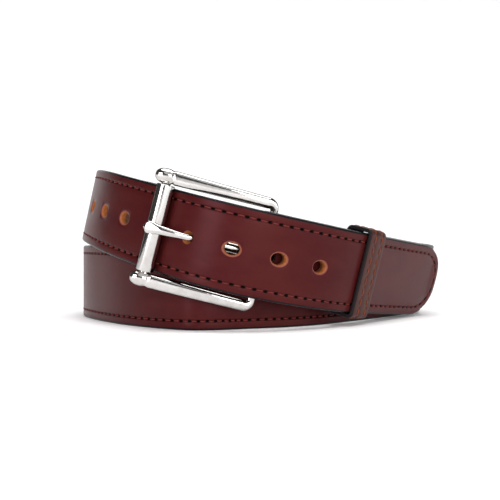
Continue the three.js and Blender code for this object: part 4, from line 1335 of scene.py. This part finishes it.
def make_keeper():
    points, normals, marks, length = keeper_loop(KEEPER_THICKNESS)
    half = KEEPER_WIDTH / 2
    thick = KEEPER_THICKNESS
    edge = KEEPER_EDGE_RADIUS
    profile = []
    for side in (-1, 1):
        corner = []
        for i in range(6):
            angle = math.pi / 2 * i / 5
            corner.append((side * (half - edge + edge * math.cos(angle)), edge - edge * math.sin(angle)))
        profile.append(corner)
    rows = []
    for x in KEEPER_ROWS:
        rows += [(x + off, sink) for off, sink in KEEPER_GROOVE]
    face = profile[0] + rows + profile[1][::-1]
    back = [(half, thick - 0.2), (half - 0.25, thick), (0.25 - half, thick), (-half, thick - 0.2)]
    rings = []
    band = []
    for point, normal, mark in zip(points, normals, marks):
        ring = []
        for x, sink in face + back:
            crown = KEEPER_CROWN * (1 - (x / half) ** 2) if sink < thick / 2 else 0.0
            spot = point + normal * (crown - sink)
            ring.append(keeper_point(x, spot))
            band.append((mark, half - abs(x) if sink < thick / 2 else 0.0, sink))
        rings.append(ring)
    vertices, faces = loft(rings, closed=True)
    made = make_object("keeper_band", keeper_place(vertices), faces, KEEPER)
    set_vectors(made.data, "band", band)
    finish_surface(made, 40)
    place_piece(made, "keeper", "keeper_leather", "keeper_loop")

    parts = []
    count = int(length / KEEPER_STITCH)
    pitch = length / count
    round_marks = np.append(marks, length)
    round_points = np.vstack([points, points[:1]])
    round_normals = np.vstack([normals, normals[:1]])
    for x in KEEPER_ROWS:
        for k in range(count):
            rings = []
            for i in range(9):
                share = i / 8
                mark = (k + 0.5 + 0.08 + 0.84 * share) * pitch % length
                spot = np.array([np.interp(mark, round_marks, round_points[:, j]) for j in (0, 1)])
                out = np.array([np.interp(mark, round_marks, round_normals[:, j]) for j in (0, 1)])
                bow = 1 - (2 * share - 1) ** 4
                size = KEEPER_THREAD_RADIUS * (0.75 + 0.25 * bow)
                lift = KEEPER_CROWN - 0.05 - 0.5 * (1 - bow)
                ring = []
                for j in range(6):
                    angle = 2 * math.pi * j / 6
                    at = spot + out * (lift + size * math.sin(angle))
                    ring.append(keeper_point(x + size * math.cos(angle), at))
                rings.append(ring)
            parts.append(loft(rings))
    vertices, faces = joined(parts)
    stitches = make_object("keeper_stitching", keeper_place(vertices), faces, KEEPER_THREAD)
    set_vectors(stitches.data, "run", vertices)
    finish_surface(stitches, 80)
    place_piece(stitches, "keeper", None)


# ---------------------------------------------------------------- fold fasteners


def on_strap(points, place, depth=0.0, across=STRAP_MIDDLE):
    """Shape coordinates (along, across, out of the outer face) laid on the strap at a place."""
    at = frames([place])[0]
    points = np.asarray(points, float)
    base = at[0] + at[2] * across + at[3] * depth
    return (base + points[:, :1] * at[1] + points[:, 1:2] * at[2] - points[:, 2:3] * at[3]) * MM


def post_profile():
    """A domed head and a hollow shank, as (radius, height) with the outer face at height 0."""
    back = -(STRAP_THICKNESS + LAYER_GAP + SKIVED_THICKNESS + RUNNING_GAP)
    top = back - POST_HEAD_HEIGHT
    profile = [(0.0, top), (2.0, top + 0.02)]
    for k in range(7):
        angle = math.pi / 2 * k / 6
        profile.append((3.2 + 1.6 * math.sin(angle), top + 0.9 * (1 - math.cos(angle))))
    bore = SCREW_RADIUS + LAYER_GAP
    floor = back + POST_FLOOR
    return profile + [(POST_HEAD_RADIUS, back), (POST_RADIUS, back), (POST_RADIUS, -LAYER_GAP),
                      (bore, -LAYER_GAP), (bore, floor), (0.0, floor)]


def screw_profile():
    """A low head and a shank, as (radius, height) with the outer face at height 0."""
    top = SCREW_HEAD_HEIGHT
    end = -SCREW_LENGTH
    return [(0.0, end), (SCREW_RADIUS - 0.3, end), (SCREW_RADIUS, end + 0.3), (SCREW_RADIUS, 0.1),
            (4.2, 0.1), (4.3, 0.2), (4.1, 0.42), (3.4, top - 0.03), (0.0, top)]


def make_fasteners():
    place = HEEL + POST_DISTANCE
    for i, across in enumerate(post_across()):
        vertices, faces = loft(turned(post_profile(), 40), ends=False)
        vertices = on_strap(vertices, place, 0.0, across)
        post = make_object(f"fold_post_turned_{i + 1}", vertices, faces, SATIN)
        finish_surface(post, 35)
        place_piece(post, "belt", "nickel", f"fold_post_{i + 1}")

        vertices, faces = loft(turned(screw_profile(), 40), ends=False)
        screw = make_object(f"fold_screw_slotted_{i + 1}", vertices * MM, faces, SATIN)
        top = SCREW_HEAD_HEIGHT
        points, polygons = slab(10, 0.9, top - SCREW_SLOT_DEPTH, top + 1)
        carve(screw, make_object("screw_cutter", points * MM, polygons))
        turn = math.radians(25 + 50 * i)
        local = coordinates(screw.data) / MM
        c, s = math.cos(turn), math.sin(turn)
        local[:, :2] = local[:, :2] @ np.array([[c, s], [-s, c]])
        set_coordinates(screw.data, on_strap(local, place, 0.0, across))
        finish_surface(screw, 30)
        place_piece(screw, "belt", "nickel", f"fold_screw_{i + 1}")


# ---------------------------------------------------------------- zip


def flat_strip(start, end, low, high, front, back, step=2.0):
    """A thin strip along the strap, divided so that it can bend."""
    count = int((end - start) / step)
    rings = []
    for i in range(count + 1):
        s = start + (end - start) * i / count
        rings.append([(s, low, front), (s, high, front), (s, high, back), (s, low, back)])
    return loft(rings)


def bent_object(name, parts, material):
    """An object drawn in strap coordinates and bent along the strap."""
    made = flat_object(name, parts, material)
    flat = coordinates(made.data)
    set_vectors(made.data, "strap", flat)
    set_coordinates(made.data, bend(flat))
    return made


def make_tapes():
    for side, name in ((1, "upper"), (-1, "lower")):
        near = STRAP_MIDDLE + side * COIL_GAP / 2
        far = near + side * TAPE_WIDTH
        cord = near + side * 0.4
        start, end = TURN + ZIP_FROM + 1, TURN + ZIP_TO - 1
        edges = (min(near, far), max(near, far))
        parts = [flat_strip(start, end, *edges, TAPE_DEPTH, TAPE_DEPTH + TAPE_THICKNESS)]
        parts.append(loft([[(s, cord + 0.35 * x, TAPE_DEPTH + 0.35 + 0.3 * y) for x, y in circle(1, 8)]
                           for s in np.linspace(start, end, 190)]))
        tape = bent_object(f"zip_tape_woven_{name}", parts, TAPE)
        finish_surface(tape, 40)
        place_piece(tape, "belt", "zip_tape", f"zipper_tape_{name}")


def make_coils():
    """Each side of the zip is a row of nylon loops, and the two rows interlock."""
    start = TURN + ZIP_FROM + STOP_LENGTH + 2
    end = TURN + ZIP_TO - STOP_LENGTH - 2
    for side, name in ((1, "upper"), (-1, "lower")):
        parts = []
        count = int((end - start) / COIL_PITCH)
        for k in range(count):
            s = start + (k + (0.5 if side > 0 else 0.0)) * COIL_PITCH
            rings = []
            for i in range(9):
                angle = math.pi * (i / 8 - 0.5)
                reach = COIL_LOOP * math.cos(angle) - COIL_LOOP + COIL_OVERLAP
                t = STRAP_MIDDLE + side * (COIL_HEAD - reach if 0 < i < 8 else COIL_ROOT)
                depth = COIL_DEPTH + COIL_THICKNESS / 2 + COIL_RISE * math.sin(angle)
                lean = COIL_LEAN * math.sin(angle)
                rings.append([(s + lean + x, t, depth + y) for x, y in circle(COIL_WIRE, 6)])
            parts.append(loft(rings))
        made = bent_object(f"zip_coil_nylon_{name}", parts, NYLON)
        finish_surface(made, 60)
        place_piece(made, "belt", "zip_coil", f"zipper_coil_{name}")


def bevelled(made, width, segments=3):
    """Rounds a piece's sharp edges."""
    bevel = made.modifiers.new("bevel", "BEVEL")
    bevel.width = width * MM
    bevel.segments = segments
    bevel.limit_method = "ANGLE"
    bevel.angle_limit = math.radians(40)
    apply_modifiers(made)
    finish_surface(made, 40)


def plate(outline, low, high):
    """A flat piece of even thickness."""
    return loft([[(x, y, z) for x, y in outline] for z in (low, high)])


def slab(length, width, low, high, along=0.0):
    x, y = length / 2, width / 2
    return plate([(along - x, -y), (along + x, -y), (along + x, y), (along - x, y)], low, high)


def make_stops():
    low = STRAP_MIDDLE - COIL_GAP / 2 - COIL_WIDTH
    high = STRAP_MIDDLE + COIL_GAP / 2
    top = ZIP_TO - STOP_LENGTH - 1
    for name, start, t0, t1 in (("top_stop_upper", top, high, high + COIL_WIDTH),
                                ("top_stop_lower", top, low, low + COIL_WIDTH),
                                ("bottom_stop", ZIP_FROM + 1, low, high + COIL_WIDTH)):
        place = TURN + start + STOP_LENGTH / 2
        parts = [slab(STOP_LENGTH, t1 - t0, -COIL_THICKNESS - 0.2, 0.0)]
        for x in (-0.75, 0.75):
            parts.append(slab(0.6, t1 - t0 + 0.1, -COIL_THICKNESS - 0.35, -COIL_THICKNESS, along=x))
        vertices, faces = joined(parts)
        vertices = on_strap(vertices, place, COIL_DEPTH, (t0 + t1) / 2)
        made = make_object(f"zip_{name}_crimped", vertices, faces, SATIN)
        bevelled(made, 0.18)
        place_piece(made, "belt", "nickel", f"zipper_{name}")


def slider_outline(shrink):
    """A zip slider's plate: wide shoulders narrowing to the mouth that pulls the coils shut."""
    half = SLIDER_LENGTH / 2
    shape = [(half, 1.0), (half - 0.4, 2.9), (half - 1.6, 3.95), (half - 3.2, 4.0), (0.2, 3.3),
             (-2.2, 2.95), (-half + 0.4, 2.8), (-half, 2.2)]
    shape = [(x, y - shrink) for x, y in shape]
    return shape + [(x, -y) for x, y in reversed(shape)]


def make_slider():
    place = TURN + SLIDER_PLACE
    front = (-SLIDER_FRONT_DEPTH[1], -SLIDER_FRONT_DEPTH[0])
    back = (-SLIDER_BACK_DEPTH[1], -SLIDER_BACK_DEPTH[0])
    lug_top = -(PIN_DEPTH + 0.9)
    parts = [plate(slider_outline(0.0), *front), plate(slider_outline(0.6), *back),
             slab(SLIDER_LENGTH - 4, SLIDER_WEDGE, front[0] + 0.1, back[1] - 0.1, along=1.6)]
    for side in (1, -1):
        centre = side * (LUG_GAP + LUG_WIDTH) / 2
        ear = [(-1.5, front[1] - 0.1), (1.5, front[1] - 0.1), (1.3, lug_top + 1.1), (0.7, lug_top + 0.2),
               (0.0, lug_top), (-0.7, lug_top + 0.2), (-1.3, lug_top + 1.1)]
        parts.append(loft([[(x, centre + y, z) for x, z in ear] for y in (-LUG_WIDTH / 2, LUG_WIDTH / 2)]))
    reach = (LUG_GAP + 2 * LUG_WIDTH) / 2 + 0.15
    parts.append(loft([[(x, y, z - PIN_DEPTH) for x, z in circle(PIN_RADIUS, 20)] for y in (-reach, reach)]))
    vertices, faces = joined(parts)
    made = make_object("zip_slider_cast", on_strap(vertices, place), faces, SATIN)
    bevelled(made, 0.16)
    place_piece(made, "zip_slider", "nickel", "zipper_slider")


def make_pull_tab():
    """A flat pull with a round eye on the slider's pin, a waist and a slotted grip."""
    width = LUG_GAP - 2 * RUNNING_GAP
    half = width / 2
    corner = 1.5
    outline = [(1.4, 0.0)]
    for i in range(1, 8):
        angle = math.pi / 2 * i / 8
        outline.append((1.4 * math.cos(angle), half * math.sin(angle)))
    outline += [(0.0, half), (-3.2, half), (-4.6, TAB_WIDTH / 2)]
    for i in range(9):
        angle = math.pi / 2 * i / 8
        outline.append((1.2 - TAB_LENGTH + corner - corner * math.sin(angle),
                        TAB_WIDTH / 2 - corner + corner * math.cos(angle)))
    outline += [(x, -y) for x, y in reversed(outline[1:])]
    vertices, faces = plate(outline, -TAB_THICKNESS / 2, TAB_THICKNESS / 2)
    made = make_object("zip_pull_tab_pressed", vertices * MM, faces, SATIN)
    grip = [(x - 10.2, y) for x, y in pill(5.6, 2.0, 8)]
    points, polygons = plate(grip, -2, 2)
    carve(made, make_object("grip_cutter", points * MM, polygons))
    rod = circle(PIN_RADIUS + RUNNING_GAP, 24)
    points, polygons = loft([[(x, y, z) for x, z in rod] for y in (-4, 4)])
    carve(made, make_object("bore_cutter", points * MM, polygons))
    local = coordinates(made.data) / MM
    c, s = math.cos(-TAB_ANGLE), math.sin(-TAB_ANGLE)
    turned_x = local[:, 0] * c + local[:, 2] * s
    turned_z = -local[:, 0] * s + local[:, 2] * c
    local[:, 0], local[:, 2] = turned_x, turned_z
    set_coordinates(made.data, on_strap(local, TURN + SLIDER_PLACE, PIN_DEPTH))
    bevelled(made, 0.15)
    place_piece(made, "pull_tab", "nickel", "zipper_pull_tab")


# ---------------------------------------------------------------- camera, floor and light

CAMERA_PLACE = BELT_SHIFT + np.array([10.5, -385.9, 37.7])
CAMERA_LENS = 64.8
CAMERA_PITCH = math.radians(90 - 0.25)
WORLD_STRENGTH = 0.07
# The floor's sizes are in metres.
FLOOR_FLAT = 1.0
LIP_FROM = 1.5
LIP_HEIGHT = 0.35
LIP_SPAN = 4.2
SWEEP_SLOPE = math.radians(38)
SWEEP_RADIUS = 1.2


def make_camera():
    data = bpy.data.cameras.new("camera")
    data.lens = CAMERA_LENS
    data.sensor_width = 36.0
    data.clip_start = 0.01
    made = bpy.data.objects.new("camera", data)
    made.location = CAMERA_PLACE * MM
    made.rotation_euler = (CAMERA_PITCH, 0, 0)
    link(made)
    bpy.context.scene.camera = made


def floor_height(radius, azimuth):
    """The floor is flat near the belt, with a low lip all round and a high slope at the back."""
    lip = LIP_HEIGHT * max(0.0, radius - LIP_FROM) ** 1.5 / LIP_SPAN
    past_flat = max(0.0, radius - FLOOR_FLAT)
    angle = min(SWEEP_SLOPE, math.asin(min(1.0, past_flat / SWEEP_RADIUS)))
    slope = SWEEP_RADIUS * (1 - math.cos(angle))
    slope += max(0.0, past_flat - SWEEP_RADIUS * math.sin(angle)) * math.tan(angle)
    behind = float(smooth((1.05 - abs(azimuth - math.pi / 2)) / 0.45))
    return max(lip, slope * behind)


def make_floor():
    """A pale studio floor that sweeps up behind the belt."""
    radii = [0.0, 0.6] + [FLOOR_FLAT + 0.15 * i for i in range(24)]
    around = 96
    vertices = []
    for radius in radii:
        for i in range(around):
            azimuth = 2 * math.pi * i / around - math.pi / 2
            x, y = radius * math.cos(azimuth), radius * math.sin(azimuth)
            vertices.append((x, y, floor_height(radius, azimuth)))
    faces = []
    for j in range(len(radii) - 1):
        for i in range(around):
            k = (i + 1) % around
            faces.append((j * around + i, (j + 1) * around + i, (j + 1) * around + k, j * around + k))
    made = make_object("floor", np.array(vertices), faces, studio_white())
    made.data.polygons.foreach_set("use_smooth", [True] * len(made.data.polygons))


def soft_light(name, place, target, size, power, tint=(1.0, 1.0, 1.0)):
    """A rectangular lamp: places and sizes are in metres, and the power is in watts."""
    data = bpy.data.lights.new(name, "AREA")
    data.shape = "RECTANGLE"
    data.size, data.size_y = size
    data.energy = power
    data.color = tint
    made = bpy.data.objects.new(name, data)
    made.location = place
    made.rotation_euler = (Vector(target) - Vector(place)).to_track_quat("-Z", "Y").to_euler()
    link(made)


def sun(name, place, strength, spread):
    """A far soft light: place is the direction it comes from, and the spread is in degrees."""
    data = bpy.data.lights.new(name, "SUN")
    data.energy = strength
    data.angle = math.radians(spread)
    made = bpy.data.objects.new(name, data)
    made.rotation_euler = (-Vector(place)).to_track_quat("-Z", "Y").to_euler()
    link(made)


def make_light():
    world = bpy.data.worlds.new("studio")
    world.use_nodes = True
    world.node_tree.nodes["Background"].inputs["Color"].default_value = (1.0, 1.0, 1.0, 1.0)
    world.node_tree.nodes["Background"].inputs["Strength"].default_value = WORLD_STRENGTH
    bpy.context.scene.world = world
    target = (0.0, -0.05, 0.04)
    sun("sky", (0.1, -0.1, 1.0), strength=2.7, spread=50)
    sun("front", (0.2, -1.0, 0.7), strength=0.25, spread=40)
    soft_light("key", (-0.62, -0.85, 0.3), target, (0.45, 0.6), power=6.5, tint=(1.0, 0.92, 0.95))
    soft_light("fill_front", (0.45, -1.0, 0.2), target, (0.7, 0.5), power=5.5, tint=(1.0, 0.95, 0.95))
    soft_light("fill_right", (0.75, -0.35, 0.2), target, (0.4, 0.5), power=1.8)


def main():
    make_camera()
    make_strap()
    make_stitching()
    make_buckle_frame()
    make_roller()
    make_tongue()
    make_keeper()
    make_fasteners()
    make_tapes()
    make_coils()
    make_stops()
    make_slider()
    make_pull_tab()
    make_floor()
    make_light()
    bpy.context.scene.view_settings.view_transform = "Standard"
    bpy.context.scene.view_settings.look = "None"


main()
